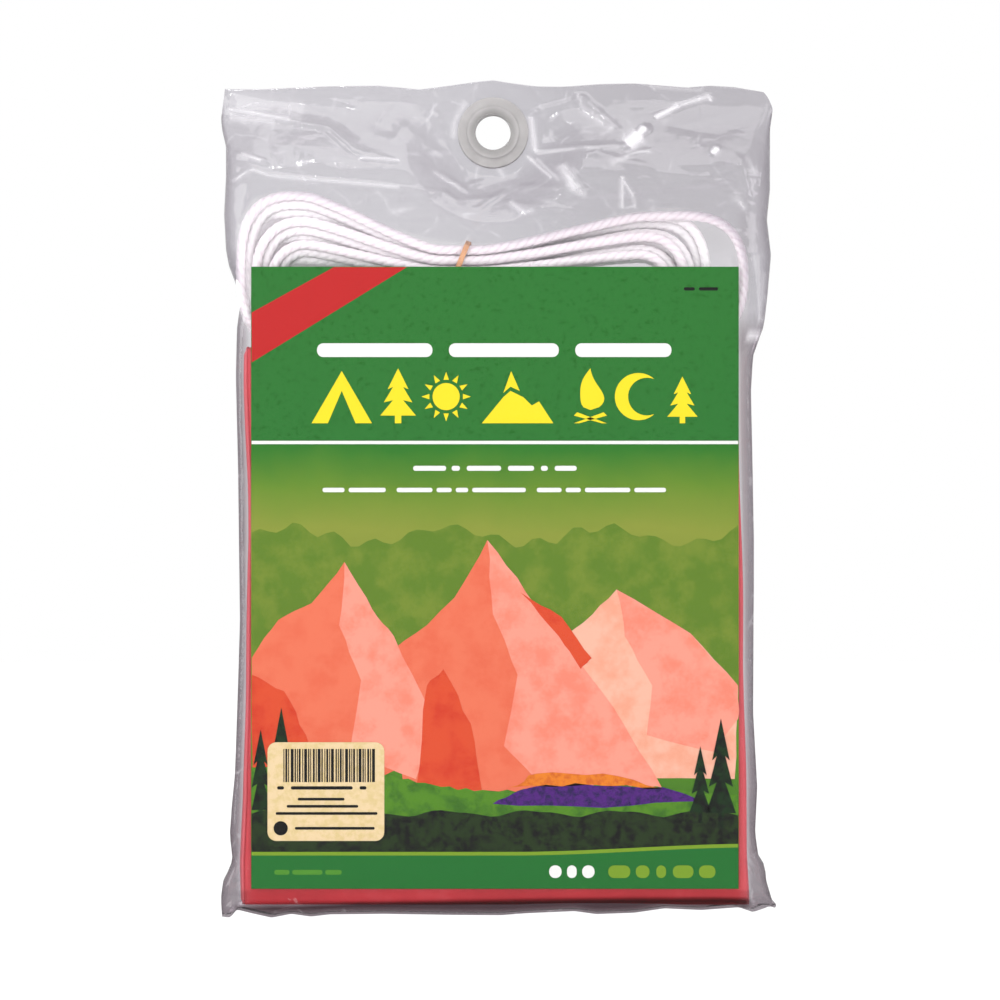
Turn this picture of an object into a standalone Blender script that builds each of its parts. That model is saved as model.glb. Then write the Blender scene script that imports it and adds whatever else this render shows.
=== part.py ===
"""A packed tube tent: the folded polyethylene tube, its guy cord, a leaflet and a card in a clear hang bag.

The pack hangs upright. The origin is the middle of the hang hole, +Z is up and the card faces -Y.
"""

import math

import bmesh
import bpy
import numpy as np
from mathutils import Matrix, Vector

# General sizes, in metres
CLEARANCE = 0.0003
CUT_OVERRUN = 0.004
SHARP_ANGLE = math.radians(35)

# The tent: a tube of 1.83 m lay-flat width and 2.44 m length, folded into a flat bundle
TENT_WIDTH = 0.183
TENT_HEIGHT = 0.203
TENT_LAYERS = 10
TENT_LAYER = 0.0016
TENT_AIR = 0.0004
TENT_STAGGER = 0.0012

# The instruction leaflet, folded once, behind the card
LEAFLET_WIDTH = 0.105
LEAFLET_HEIGHT = 0.148
LEAFLET_LAYERS = 2
LEAFLET_PAPER = 0.00012
LEAFLET_AIR = 0.00012
LEAFLET_LIFT = 0.030

# The printed card
CARD_WIDTH = 0.1775
CARD_HEIGHT = 0.2265
CARD_BOARD = 0.00045
CARD_LIFT = 0.0062
CARD_TRAVEL = 0.012

# The guy cord, wound into one hank that is drawn in at its waist
CORD_DIAMETER = 0.0032
CORD_STEP = 0.0038
CORD_END_STEP = 0.0056
HANK_LAYERS = 5
HANK_LAYER_TURNS = 3
HANK_LAYER_STEP = 0.0037
HANK_CORE = 0.0020
HANK_INNER_CROWN = 0.0080
HANK_LEFT_CROWN = 0.0318
HANK_RIGHT_CROWN = 0.0248
HANK_INNER_FOOT = 0.0104
HANK_FOOT = 0.0224
HANK_LEFT_REACH = 0.0812
HANK_RIGHT_REACH = 0.0920
HANK_WAIST_X = -0.0124
HANK_WAIST_RUN = 0.0088
HANK_LOOSE_REACH = 0.0144
HANK_TRAVEL = 0.004

# The band round the hank's waist
BAND_WIDTH = 0.0019
BAND_THICK = 0.0007
BAND_CORNER = 0.0020
BAND_TILT = math.radians(22)
BAND_SHIFT = -0.0027

# The bag: two panels of clear film, welded to each other all round
FILM = 0.0001
FILM_ROOM = 0.0006
SIDE_ROOM = 0.0022
SIDE_BEND = 0.0050
HEADER_BEND = 0.0140
HANK_SIDE_ROOM = 0.0042
BOTTOM_ROOM = 0.0035
BOTTOM_BEND = 0.0050
EAR_HEIGHT = 0.0160
HEADER_RISE = 0.0175
HEADER_TAPER = 0.0214
TOP_SEAL = 0.0030
CARD_TUCK = 0.0032
PACK_OFFSET = 0.0007

# The eyelet: a front half with a barrel, snapped into a back ring through both panels
BORE_RADIUS = 0.00645
BARREL_WALL = 0.0010
RIM_HEIGHT = 0.0020
RIM_RADIUS = 0.0098
RIM_EDGE = 0.0005
FLANGE_RADIUS = 0.0130
FLANGE_THICK = 0.0011
FLANGE_EDGE = 0.0003
LIP_REACH = 0.00065
LIP_THICK = 0.0004
FILM_LAND = 0.0015

# Counts and shares
FOLD_STEPS = 6
RUN_POINTS = 4
END_POINTS = 6
CORD_BEVEL_RESOLUTION = 1
CLIMB_TURNS = 0.5
EYELET_STEPS = 44
CORNER_STEPS = 5
BAND_CORNER_STEPS = 4
BODY_SQUARENESS = 4.0
HEADER_SQUARENESS = 2.5
LAND_COLUMN_SHARES = (0.0, 0.5, 1.0)
FLAT_COLUMN_SHARES = (0.12, 0.27, 0.46, 0.72)
LAND_ROW_SHARES = (0.5, 0.0, -0.5, -1.0)
TAPER_ROW_SHARES = (0.22, 0.42, 0.62, 0.82, 1.0)
SHOULDER_ROW_SHARES = (0.25, 0.5, 0.75, 1.0)
BODY_ROW_SHARES = (0.25, 0.5, 0.75)
TUCK_ROW_SHARES = (0.0, 0.33, 0.67, 1.0)
BAND_SPIRAL_SHARE = 0.42
CROWN_SPIRAL_SHARE = 0.25
LAYER_OFFSET_SHARES = (0.0, 0.0, 0.3, 0.3, 0.0)
FLARE_LINE_SHARE = 0.7
END_SLIM_SHARE = 0.3
END_SQUARE_SHARE = 0.8
STAGGER_SHARES = (0.0, 0.6, 0.2, 1.0, 0.4)
LOOSE_TURN_SHARE = 0.5

# The stack from front to back
tent_depth = TENT_LAYERS * (TENT_LAYER + TENT_AIR) - TENT_AIR
tent_front = -tent_depth / 2
leaflet_depth = LEAFLET_LAYERS * (LEAFLET_PAPER + LEAFLET_AIR) - LEAFLET_AIR
leaflet_front = tent_front - CLEARANCE - leaflet_depth
card_back = leaflet_front - CLEARANCE
card_front = card_back - CARD_BOARD

# The films' middle surfaces, measured from the plane of the welds
weld_depth = (CLEARANCE + FILM) / 2
card_film_depth = -card_front + FILM_ROOM + FILM / 2
tent_film_depth = tent_depth / 2 + FILM_ROOM + FILM / 2

# The hank's loops, its waist and the band round it
loop_points = 2 * (RUN_POINTS + END_POINTS + RUN_POINTS)
crown_rank = HANK_LAYER_TURNS - CROWN_SPIRAL_SHARE
cord_radius = CORD_DIAMETER / 2
hank_below = HANK_CORE + HANK_LAYER_TURNS * CORD_STEP
hank_above = HANK_CORE + (HANK_LAYER_TURNS - BAND_SPIRAL_SHARE) * CORD_STEP
hank_half_depth = (HANK_LAYERS - 1) / 2 * HANK_LAYER_STEP + cord_radius
band_stand = CLEARANCE + BAND_WIDTH * math.sin(BAND_TILT) + BAND_THICK * math.cos(BAND_TILT)
hank_rise = max(HANK_FOOT + CLEARANCE, hank_below + band_stand) + cord_radius + CLEARANCE

# Heights, from the hang hole down
eyelet_land = FLANGE_RADIUS + FILM_LAND
fill_top = -eyelet_land - HEADER_TAPER
card_raised = CARD_LIFT + CARD_HEIGHT + CARD_TRAVEL
hank_raised = TENT_HEIGHT + hank_rise + hank_above + cord_radius + band_stand + HANK_TRAVEL
tent_bottom = fill_top - CLEARANCE - max(card_raised, hank_raised)
tent_top = tent_bottom + TENT_HEIGHT
card_bottom = tent_bottom + CARD_LIFT
hank_axis = tent_top + hank_rise
crown_top = hank_axis + max(HANK_LEFT_CROWN, HANK_RIGHT_CROWN) + cord_radius
top_weld = HEADER_RISE - TOP_SEAL
header_fall = top_weld - (crown_top + HANK_TRAVEL + CLEARANCE)
bottom_weld = tent_bottom - BOTTOM_ROOM

# Half widths of the bag about its own middle
filled_half = max(TENT_WIDTH / 2 + SIDE_ROOM, CARD_WIDTH / 2 + SIDE_BEND)
wrap_half = filled_half + (math.pi / 2 - 1) * (card_film_depth + tent_film_depth) / 2
hank_right = HANK_WAIST_X + HANK_RIGHT_REACH + HANK_LOOSE_REACH + cord_radius - PACK_OFFSET
hank_left = HANK_LEFT_REACH - HANK_WAIST_X + cord_radius + PACK_OFFSET
flat_half = max(wrap_half, hank_right + HANK_SIDE_ROOM, hank_left + HANK_SIDE_ROOM)


def clear_scene():
    """Removes every object that the file starts with."""
    for item in list(bpy.data.objects):
        bpy.data.objects.remove(item, do_unlink=True)


def material(name, colour, roughness, alpha=1.0):
    """A plain Principled material."""
    made = bpy.data.materials.new(name)
    made.use_nodes = True
    shader = made.node_tree.nodes["Principled BSDF"]
    shader.inputs["Base Color"].default_value = (*colour, 1.0)
    shader.inputs["Roughness"].default_value = roughness
    shader.inputs["Metallic"].default_value = 0.0
    shader.inputs["Alpha"].default_value = alpha
    return made


def add_object(name, data, finish):
    """Links an object with its material to the scene."""
    item = bpy.data.objects.new(name, data)
    bpy.context.scene.collection.objects.link(item)
    data.materials.append(finish)
    return item


def mesh_from(name, build, finish, place=Matrix.Identity(4), smooth=False):
    """Makes an object from a function that fills a bmesh."""
    shape = bmesh.new()
    build(shape)
    bmesh.ops.recalc_face_normals(shape, faces=shape.faces)
    bmesh.ops.transform(shape, matrix=place, verts=shape.verts)
    mesh = bpy.data.meshes.new(name)
    shape.to_mesh(mesh)
    shape.free()
    if smooth:
        mesh.shade_smooth()
        mesh.set_sharp_from_angle(angle=SHARP_ANGLE)
    return add_object(name, mesh, finish)


def ease(value):
    """0 below 0, 1 above 1, and a smooth step between."""
    value = min(max(value, 0.0), 1.0)
    return value * value * (3 - 2 * value)


def add_prism(shape, outline, low, high):
    """Extrudes a flat outline of (x, y) points from the height low to the height high."""
    face = shape.faces.new([shape.verts.new((x, y, low)) for x, y in outline])
    grown = bmesh.ops.extrude_face_region(shape, geom=[face])
    tops = [item for item in grown["geom"] if isinstance(item, bmesh.types.BMVert)]
    bmesh.ops.translate(shape, verts=tops, vec=(0, 0, high - low))


def walk_folds(width, layers, layer, air, stagger):
    """The two sides of a sheet folded to and fro, walked from its front edge to its back edge.

    One side lies on the left of the walk and the other on its right. Each bend is a half circle about the
    middle of the air between two layers, and some bends fall short of the full width by up to the stagger.
    """
    step = layer + air
    bend = width / 2 - step / 2 - layer / 2
    left, right = [], []
    start = width / 2
    for index in range(layers):
        way = -1 if index % 2 == 0 else 1
        depth = layer / 2 + index * step
        short = stagger * STAGGER_SHARES[index % len(STAGGER_SHARES)]
        end = way * (bend if index < layers - 1 else width / 2) - way * short
        for x in (start, end):
            left.append((x, depth + way * layer / 2))
            right.append((x, depth - way * layer / 2))
        if index == layers - 1:
            break
        middle = depth + step / 2
        for turn in range(1, FOLD_STEPS):
            angle = math.pi * turn / FOLD_STEPS
            for side, sign in ((left, way), (right, -way)):
                radius = step / 2 - sign * layer / 2
                side.append((end + way * radius * math.sin(angle), middle - radius * math.cos(angle)))
        start = end
    return left, right


def folded_stack(name, width, height, layers, layer, air, stagger, front, bottom, finish):
    """A folded sheet standing on edge, with its front at the depth front and its foot at bottom."""
    one, other = walk_folds(width, layers, layer, air, stagger)
    outline = [(x + PACK_OFFSET, y + front) for x, y in one + other[::-1]]
    top = bottom + height
    return mesh_from(name, lambda shape: add_prism(shape, outline, bottom, top), finish, smooth=True)


def tent_tube(finish):
    """The tent, as the last folds of the packed tube, one slab for each 24 films."""
    return folded_stack(
        "tent_tube", TENT_WIDTH, TENT_HEIGHT, TENT_LAYERS, TENT_LAYER, TENT_AIR, TENT_STAGGER,
        tent_front, tent_bottom, finish,
    )


def instruction_leaflet(finish):
    """The leaflet, folded once, between the card and the tent."""
    foot = tent_bottom + LEAFLET_LIFT
    return folded_stack(
        "instruction_leaflet", LEAFLET_WIDTH, LEAFLET_HEIGHT, LEAFLET_LAYERS, LEAFLET_PAPER, LEAFLET_AIR, 0,
        leaflet_front, foot, finish,
    )


def printed_card(finish):
    """The card, a flat board in front of everything."""
    half = CARD_WIDTH / 2
    left, right = PACK_OFFSET - half, PACK_OFFSET + half
    outline = [(left, card_front), (right, card_front), (right, card_back), (left, card_back)]
    top = card_bottom + CARD_HEIGHT
    return mesh_from("printed_card", lambda shape: add_prism(shape, outline, card_bottom, top), finish)


def hank_layer(turns):
    """The loops' rank, from 0 inside to HANK_LAYER_TURNS outside, their offset and their depth.

    The winding spirals out and in again at a steady rate, and its last layer ends outside. It climbs to the
    next layer within a quarter of a turn on either side of each place where the spiral reverses. Some layers
    have their crowns a share of a rank lower, so that they fill the gaps between the others.
    """
    layer, within = divmod(turns / HANK_LAYER_TURNS, 1.0)
    outwards = (HANK_LAYERS - 1 - int(layer)) % 2 == 0
    rank = HANK_LAYER_TURNS * (within if outwards else 1.0 - within)
    starts = [index * HANK_LAYER_TURNS - CLIMB_TURNS / 2 for index in range(1, HANK_LAYERS)]
    climbed = sum(ease((turns - start) / CLIMB_TURNS) for start in starts)
    offset = LAYER_OFFSET_SHARES[round(climbed) % len(LAYER_OFFSET_SHARES)]
    return rank, offset, ((HANK_LAYERS - 1) / 2 - climbed) * HANK_LAYER_STEP


def hank_point(turns):
    """A point of the cord's middle line. A turn starts at the middle of the lower run and goes right.

    Both runs are level at the waist and flare towards the ends: the upper one to the end's crown and the
    lower one to its foot. A tall half ellipse joins them at each end, squarer and slimmer in the outer ranks.
    The last turn's right half swings loose beyond the others.
    """
    rank, offset, depth = hank_layer(turns)
    share = (turns % 1.0) * loop_points
    right = share <= loop_points / 2
    share = share if right else loop_points - share
    way = 1 if right else -1
    waist = HANK_CORE + rank * CORD_STEP
    last = turns - (HANK_LAYERS * HANK_LAYER_TURNS - 1)
    loose = math.sin(math.pi * last / LOOSE_TURN_SHARE) ** 2 if 0 < last < LOOSE_TURN_SHARE else 0.0
    rank += max(crown_rank - rank, 0.0) * loose
    crown = HANK_RIGHT_CROWN if right else HANK_LEFT_CROWN
    top = HANK_INNER_CROWN + (crown - HANK_INNER_CROWN) * (rank - offset) / crown_rank
    foot = HANK_INNER_FOOT + (HANK_FOOT - HANK_INNER_FOOT) * rank / HANK_LAYER_TURNS
    half = (top + foot) / 2
    outward = rank / HANK_LAYER_TURNS
    wide = half * (1 - END_SLIM_SHARE * outward)
    reach = HANK_RIGHT_REACH if right else HANK_LEFT_REACH
    flare_end = reach - HANK_LAYER_TURNS * CORD_END_STEP - (HANK_INNER_CROWN + HANK_INNER_FOOT) / 2
    run_end = reach - (HANK_LAYER_TURNS - rank) * CORD_END_STEP + HANK_LOOSE_REACH * loose - wide
    if RUN_POINTS < share < RUN_POINTS + END_POINTS:
        angle = math.pi * ((share - RUN_POINTS) / END_POINTS - 0.5)
        power = 2 / (2 + END_SQUARE_SHARE * outward ** 2)
        along = run_end + wide * math.cos(angle) ** power
        height = (top - foot) / 2 + half * math.copysign(abs(math.sin(angle)) ** power, angle)
        return Vector((HANK_WAIST_X + way * along, depth, hank_axis + height))
    upper = share > loop_points / 4
    steps = loop_points / 2 - share if upper else share
    along = steps * HANK_WAIST_RUN
    if steps > 1:
        along = HANK_WAIST_RUN + (run_end - HANK_WAIST_RUN) * (steps - 1) / (RUN_POINTS - 1)
    gone = min(max((along - HANK_WAIST_RUN) / (flare_end - HANK_WAIST_RUN), 0.0), 1.0)
    flare = FLARE_LINE_SHARE * gone + (1 - FLARE_LINE_SHARE) * ease(gone)
    height = waist + ((top if upper else foot) - waist) * flare
    return Vector((HANK_WAIST_X + way * along, depth, hank_axis + (height if upper else -height)))


def hank_points():
    """The whole cord's route, loop_points to a turn."""
    total = HANK_LAYERS * HANK_LAYER_TURNS * loop_points
    return [hank_point(index / loop_points) for index in range(total + 1)]


def least_gap(points):
    """The least gap between two stretches of a tube that aren't neighbours, measured on its points."""
    places = np.array(points)
    apart = np.linalg.norm(places[:, None, :] - places[None, :, :], axis=2)
    order = np.arange(len(places))
    apart[np.abs(order[:, None] - order[None, :]) < loop_points / 4] = math.inf
    return float(apart.min()) - CORD_DIAMETER


def cord_hank(finish):
    """The guy cord: one unbroken tube through every loop of the hank."""
    points = hank_points()
    curve = bpy.data.curves.new("guy_cord_hank", "CURVE")
    curve.dimensions = "3D"
    curve.bevel_depth = cord_radius
    curve.bevel_resolution = CORD_BEVEL_RESOLUTION
    curve.use_fill_caps = True
    spline = curve.splines.new("POLY")
    spline.points.add(len(points) - 1)
    for knot, point in zip(spline.points, points):
        knot.co = (*point, 1.0)
    length = sum((after - before).length for before, after in zip(points, points[1:]))
    print(f"guy cord: {length:.3f} m in {HANK_LAYERS * HANK_LAYER_TURNS} turns")
    print(f"guy cord: least gap to itself {least_gap(points) * 1000:.2f} mm")
    return add_object("guy_cord_hank", curve, finish)


def band_outline(half_height, half_depth):
    """A rectangle with round corners in the band's own plane, as (depth, height) points."""
    outline = []
    for corner in range(4):
        start = corner * math.pi / 2
        middle_depth = (half_depth - BAND_CORNER) * (1 if corner in (0, 3) else -1)
        middle_height = (half_height - BAND_CORNER) * (1 if corner in (0, 1) else -1)
        for step in range(BAND_CORNER_STEPS + 1):
            angle = start + math.pi / 2 * step / BAND_CORNER_STEPS
            outline.append((
                middle_depth + BAND_CORNER * math.cos(angle),
                middle_height + BAND_CORNER * math.sin(angle),
                math.cos(angle),
                math.sin(angle),
            ))
    return outline


def hank_band(finish):
    """The flat band round the waist, tilted across the runs as it is twisted on."""
    inner_height = (hank_below + hank_above) / 2 + cord_radius + CLEARANCE
    half_height = inner_height / math.cos(BAND_TILT) + BAND_WIDTH / 2 * math.tan(BAND_TILT)
    half_depth = hank_half_depth + CLEARANCE
    middle = Vector((HANK_WAIST_X + BAND_SHIFT, 0, hank_axis + (hank_above - hank_below) / 2))

    def build(shape):
        rings = []
        for depth, height, out_depth, out_height in band_outline(half_height, half_depth):
            ring = []
            for across, out in ((-1, 0), (1, 0), (1, 1), (-1, 1)):
                ring.append(shape.verts.new((
                    across * BAND_WIDTH / 2,
                    depth + out * BAND_THICK * out_depth,
                    height + out * BAND_THICK * out_height,
                )))
            rings.append(ring)
        for ring, following in zip(rings, rings[1:] + rings[:1]):
            for side in range(4):
                after = (side + 1) % 4
                shape.faces.new((ring[side], ring[after], following[after], following[side]))

    place = Matrix.Translation(middle) @ Matrix.Rotation(BAND_TILT, 4, "Y")
    return mesh_from("hank_band", build, finish, place, smooth=True)


def bag_half_width(height):
    """Half the bag's width: flat beside the header, drawn in by the filling below, flat again at the ears."""
    shoulder = ease((height - tent_top) / (hank_axis - tent_top))
    ear = ease((bottom_weld + EAR_HEIGHT - height) / EAR_HEIGHT) ** 2
    return filled_half + (flat_half - filled_half) * max(shoulder, ear)


def header_share(across, height):
    """How much of its full depth the bag has near the header: none at the top weld and round the eyelet."""
    below_weld = ease((top_weld - height) / header_fall)
    from_eyelet = ease((max(abs(across), abs(height)) - eyelet_land) / HEADER_TAPER)
    return below_weld * from_eyelet


def film_depth(height, front):
    """The depth of a panel's middle surface before its edges bend. The front one tucks under the card."""
    depth = tent_film_depth
    if front:
        below_card = ease((card_bottom - height) / CARD_TUCK)
        depth = card_film_depth + (tent_film_depth - card_film_depth) * below_card
    fallen = (bottom_weld + BOTTOM_BEND - height) / BOTTOM_BEND
    bend = max(1 - max(fallen, 0.0) ** BODY_SQUARENESS, 0.0) ** (1 / BODY_SQUARENESS)
    return (depth - weld_depth) * bend


def film_columns(half_width, bend, squareness):
    """Pairs of (place across the panel, share of its full depth), from the middle to one edge."""
    flat = half_width - bend
    columns = [(share * eyelet_land, 1.0) for share in LAND_COLUMN_SHARES]
    columns += [(eyelet_land + share * (flat - eyelet_land), 1.0) for share in FLAT_COLUMN_SHARES]
    for step in range(CORNER_STEPS + 1):
        angle = math.pi / 2 * step / CORNER_STEPS
        power = 2 / squareness
        columns.append((flat + bend * math.sin(angle) ** power, max(math.cos(angle), 0.0) ** power))
    columns[-1] = (half_width, 0.0)
    return columns


def film_rows():
    """The heights of a panel's rows, from its top edge to its bottom weld."""
    bottom_start = bottom_weld + BOTTOM_BEND
    rows = [HEADER_RISE, top_weld]
    rows += [share * eyelet_land for share in LAND_ROW_SHARES]
    rows += [-eyelet_land - share * HEADER_TAPER for share in TAPER_ROW_SHARES]
    rows += [fill_top + share * (tent_top - fill_top) for share in SHOULDER_ROW_SHARES]
    rows += [tent_top + share * (card_bottom - tent_top) for share in BODY_ROW_SHARES]
    rows.append(bottom_weld + EAR_HEIGHT)
    rows += [card_bottom - share * CARD_TUCK for share in TUCK_ROW_SHARES]
    for step in range(1, CORNER_STEPS + 1):
        angle = math.pi / 2 * step / CORNER_STEPS
        rows.append(bottom_start - BOTTOM_BEND * math.sin(angle) ** (2 / BODY_SQUARENESS))
    return rows


def film_panel(name, front, finish):
    """One panel: a surface swept down the pack, thickened to the film and punched for the eyelet."""
    way = -1 if front else 1

    def build(shape):
        grid = []
        for height in film_rows():
            half_width = bag_half_width(height)
            loose = ease((height - tent_top) / (hank_axis - tent_top))
            bend = SIDE_BEND + (HEADER_BEND - SIDE_BEND) * loose
            squareness = BODY_SQUARENESS + (HEADER_SQUARENESS - BODY_SQUARENESS) * loose
            half = film_columns(half_width, bend, squareness)
            columns = [(-across, share) for across, share in half[:0:-1]] + half
            row = []
            for across, share in columns:
                depth = film_depth(height, front) * share * header_share(across, height)
                row.append(shape.verts.new((PACK_OFFSET + across, way * (weld_depth + depth), height)))
            grid.append(row)
        for row, below in zip(grid, grid[1:]):
            for index in range(len(row) - 1):
                shape.faces.new((row[index], row[index + 1], below[index + 1], below[index]))

    panel = mesh_from(name, build, finish, smooth=True)
    skin = panel.modifiers.new("film", "SOLIDIFY")
    skin.thickness = FILM
    skin.offset = 0.0
    skin.use_even_offset = True
    punch = panel.modifiers.new("eyelet hole", "BOOLEAN")
    punch.operation = "DIFFERENCE"
    punch.object = eyelet_punch(name, way)
    return panel


def eyelet_punch(name, way):
    """The cutter for the eyelet's hole in one panel, wider than the barrel by the clearance."""
    radius = BORE_RADIUS + BARREL_WALL + CLEARANCE

    def build(shape):
        bmesh.ops.create_cone(
            shape, cap_ends=True, segments=EYELET_STEPS, radius1=radius, radius2=radius, depth=CUT_OVERRUN
        )

    place = Matrix.Translation((0, way * weld_depth, 0)) @ Matrix.Rotation(math.pi / 2, 4, "X")
    cutter = mesh_from(f"{name}_punch", build, material("cutter", (1, 0, 0), 0.5), place)
    cutter.hide_render = True
    cutter.display_type = "WIRE"
    return cutter


def turned_ring(name, profile, finish):
    """A ring turned about the hang hole's axis from a closed profile of (radius, depth) points."""

    def build(shape):
        rings = []
        for step in range(EYELET_STEPS):
            angle = 2 * math.pi * step / EYELET_STEPS
            rings.append([
                shape.verts.new((radius * math.cos(angle), depth, radius * math.sin(angle)))
                for radius, depth in profile
            ])
        for ring, following in zip(rings, rings[1:] + rings[:1]):
            for index in range(len(profile)):
                after = (index + 1) % len(profile)
                shape.faces.new((ring[index], ring[after], following[after], following[index]))

    return mesh_from(name, build, finish, smooth=True)


def eyelet_front(finish):
    """The front half: a flange with a raised rim, and a barrel with a snap lip behind the back ring."""
    seat = weld_depth + FILM / 2 + CLEARANCE
    face = seat + FLANGE_THICK
    rim = seat + RIM_HEIGHT
    barrel = BORE_RADIUS + BARREL_WALL
    lip_front = seat + FLANGE_THICK + CLEARANCE
    lip_back = lip_front + LIP_THICK
    profile = [
        (barrel, -seat),
        (FLANGE_RADIUS - FLANGE_EDGE, -seat),
        (FLANGE_RADIUS, -seat - FLANGE_EDGE),
        (FLANGE_RADIUS, -face + FLANGE_EDGE),
        (FLANGE_RADIUS - FLANGE_EDGE, -face),
        (RIM_RADIUS, -face),
        (RIM_RADIUS - RIM_EDGE, -rim + RIM_EDGE),
        (RIM_RADIUS - 2 * RIM_EDGE, -rim),
        (BORE_RADIUS + RIM_EDGE, -rim),
        (BORE_RADIUS, -rim + RIM_EDGE),
        (BORE_RADIUS, lip_back),
        (barrel, lip_back),
        (barrel + LIP_REACH, lip_front),
        (barrel, lip_front),
    ]
    return turned_ring("eyelet_front", profile, finish)


def eyelet_back(finish):
    """The back ring, whose inner edge the barrel's lip holds."""
    seat = weld_depth + FILM / 2 + CLEARANCE
    face = seat + FLANGE_THICK
    bore = BORE_RADIUS + BARREL_WALL + CLEARANCE
    profile = [
        (bore, seat),
        (FLANGE_RADIUS - FLANGE_EDGE, seat),
        (FLANGE_RADIUS, seat + FLANGE_EDGE),
        (FLANGE_RADIUS, face - FLANGE_EDGE),
        (FLANGE_RADIUS - FLANGE_EDGE, face),
        (bore, face),
    ]
    return turned_ring("eyelet_back", profile, finish)


def build_pack():
    """Builds every piece of the pack."""
    clear_scene()
    film = material("clear_film", (0.72, 0.71, 0.74), 0.12, alpha=0.3)
    tent_tube(material("red_polyethylene", (0.68, 0.06, 0.07), 0.42))
    instruction_leaflet(material("leaflet_paper", (0.82, 0.81, 0.77), 0.80))
    printed_card(material("printed_board", (0.045, 0.22, 0.05), 0.45))
    cord_hank(material("white_cord", (0.88, 0.85, 0.87), 0.55))
    hank_band(material("tan_band", (0.60, 0.36, 0.20), 0.60))
    film_panel("bag_front_panel", True, film)
    film_panel("bag_back_panel", False, film)
    eyelet_front(material("eyelet_plastic", (0.75, 0.74, 0.75), 0.25))
    eyelet_back(material("eyelet_back_plastic", (0.75, 0.74, 0.75), 0.25))


build_pack()
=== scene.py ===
"""The looks of a packed tube tent: a folded red tube, its cord, a printed card and a clear hang bag.

Sizes are in metres, or in mm where a name or a class says so. The origin is the middle of the hang hole,
+Z is up and the card faces -Y.
"""

import logging
import math
from dataclasses import dataclass
from enum import Enum

import bpy
import numpy as np
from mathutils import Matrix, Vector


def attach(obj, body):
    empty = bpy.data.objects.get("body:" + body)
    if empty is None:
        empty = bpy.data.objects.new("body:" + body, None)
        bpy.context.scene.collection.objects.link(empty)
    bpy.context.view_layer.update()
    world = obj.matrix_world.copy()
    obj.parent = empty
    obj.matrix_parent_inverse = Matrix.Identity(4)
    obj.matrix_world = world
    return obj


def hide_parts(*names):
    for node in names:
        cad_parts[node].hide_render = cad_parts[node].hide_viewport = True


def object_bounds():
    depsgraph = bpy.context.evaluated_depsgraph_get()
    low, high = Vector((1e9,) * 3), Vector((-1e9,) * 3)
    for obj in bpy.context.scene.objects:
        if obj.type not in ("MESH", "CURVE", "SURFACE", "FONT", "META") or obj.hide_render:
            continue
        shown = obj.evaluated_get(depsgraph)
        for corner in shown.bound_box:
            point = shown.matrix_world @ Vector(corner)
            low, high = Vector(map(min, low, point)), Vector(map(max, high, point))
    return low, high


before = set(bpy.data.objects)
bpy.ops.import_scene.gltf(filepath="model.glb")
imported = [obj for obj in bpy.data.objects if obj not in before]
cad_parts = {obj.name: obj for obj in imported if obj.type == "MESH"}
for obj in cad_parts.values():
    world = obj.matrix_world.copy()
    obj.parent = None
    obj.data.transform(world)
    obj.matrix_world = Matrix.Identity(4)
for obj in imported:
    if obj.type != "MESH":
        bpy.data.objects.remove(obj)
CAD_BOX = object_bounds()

logging.basicConfig(level=logging.INFO, format="%(message)s")
log = logging.getLogger("packed_tent")

MM = 0.001
WHITE_LIGHT = (1.0, 1.0, 1.0, 1.0)

Colour = tuple[float, float, float, float]
Outline = tuple[tuple[float, float], ...]
Tree = bpy.types.NodeTree
Socket = bpy.types.NodeSocket
Feed = Socket | float | Colour


def srgb(code: str) -> Colour:
    """Turns an sRGB hex colour into linear values.

    Args:
        code: The colour, such as "#3a803d".

    Returns:
        Linear red, green and blue, and an alpha of 1.
    """
    parts = np.array([int(code[place:place + 2], 16) for place in (1, 3, 5)]) / 255
    linear = np.where(parts <= 0.04045, parts / 12.92, ((parts + 0.055) / 1.055) ** 2.4)
    return (*(float(part) for part in linear), 1.0)


def unlit(code: str, light: float = 1.38, veil: float = 0.03) -> Colour:
    """The linear colour that a print needs so that it looks like a hex colour under the lamps and the film.

    Args:
        code: The colour to be seen.
        light: How much stronger than white paper's own tone the lamps make it.
        veil: What gloss adds to it.

    Returns:
        The linear colour.
    """
    return (*(min(max((part - veil) / light, 0.003), 0.95) for part in srgb(code)[:3]), 1.0)


def ease(value: np.ndarray) -> np.ndarray:
    """Rises from 0 to 1 as value does, level at both ends: 3v^2 - 2v^3."""
    value = np.clip(value, 0.0, 1.0)
    return value * value * (3 - 2 * value)


def through(points: Outline, at: np.ndarray, blur: float) -> np.ndarray:
    """A line through a few points, with its corners rounded.

    The line is the mean of the straight one and of two copies of it shifted by the blur.

    Args:
        points: Pairs of (place, value), in rising places.
        at: The places to read.
        blur: The shift that rounds the corners.

    Returns:
        The values at those places.
    """
    places, values = np.array(points).T
    beside = np.interp(at - blur, places, values) + np.interp(at + blur, places, values)
    return (beside + 2 * np.interp(at, places, values)) / 4


def add_node(tree: Tree, kind: str, settings: dict | None = None,
             inputs: dict | None = None) -> bpy.types.Node:
    """Adds a shader node with its settings and links.

    Args:
        tree: The node tree to add to.
        kind: The node's type.
        settings: Its properties, by name.
        inputs: Its inputs by name or number, each a value or the output that feeds it.

    Returns:
        The new node.
    """
    node = tree.nodes.new(kind)
    for name, value in (settings or {}).items():
        setattr(node, name, value)
    for name, value in (inputs or {}).items():
        if isinstance(value, Socket):
            tree.links.new(value, node.inputs[name])
        else:
            node.inputs[name].default_value = value
    return node


def own_place(tree: Tree) -> Socket:
    """Each point's place on its own object, in metres."""
    return add_node(tree, "ShaderNodeTexCoord").outputs["Object"]


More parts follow.
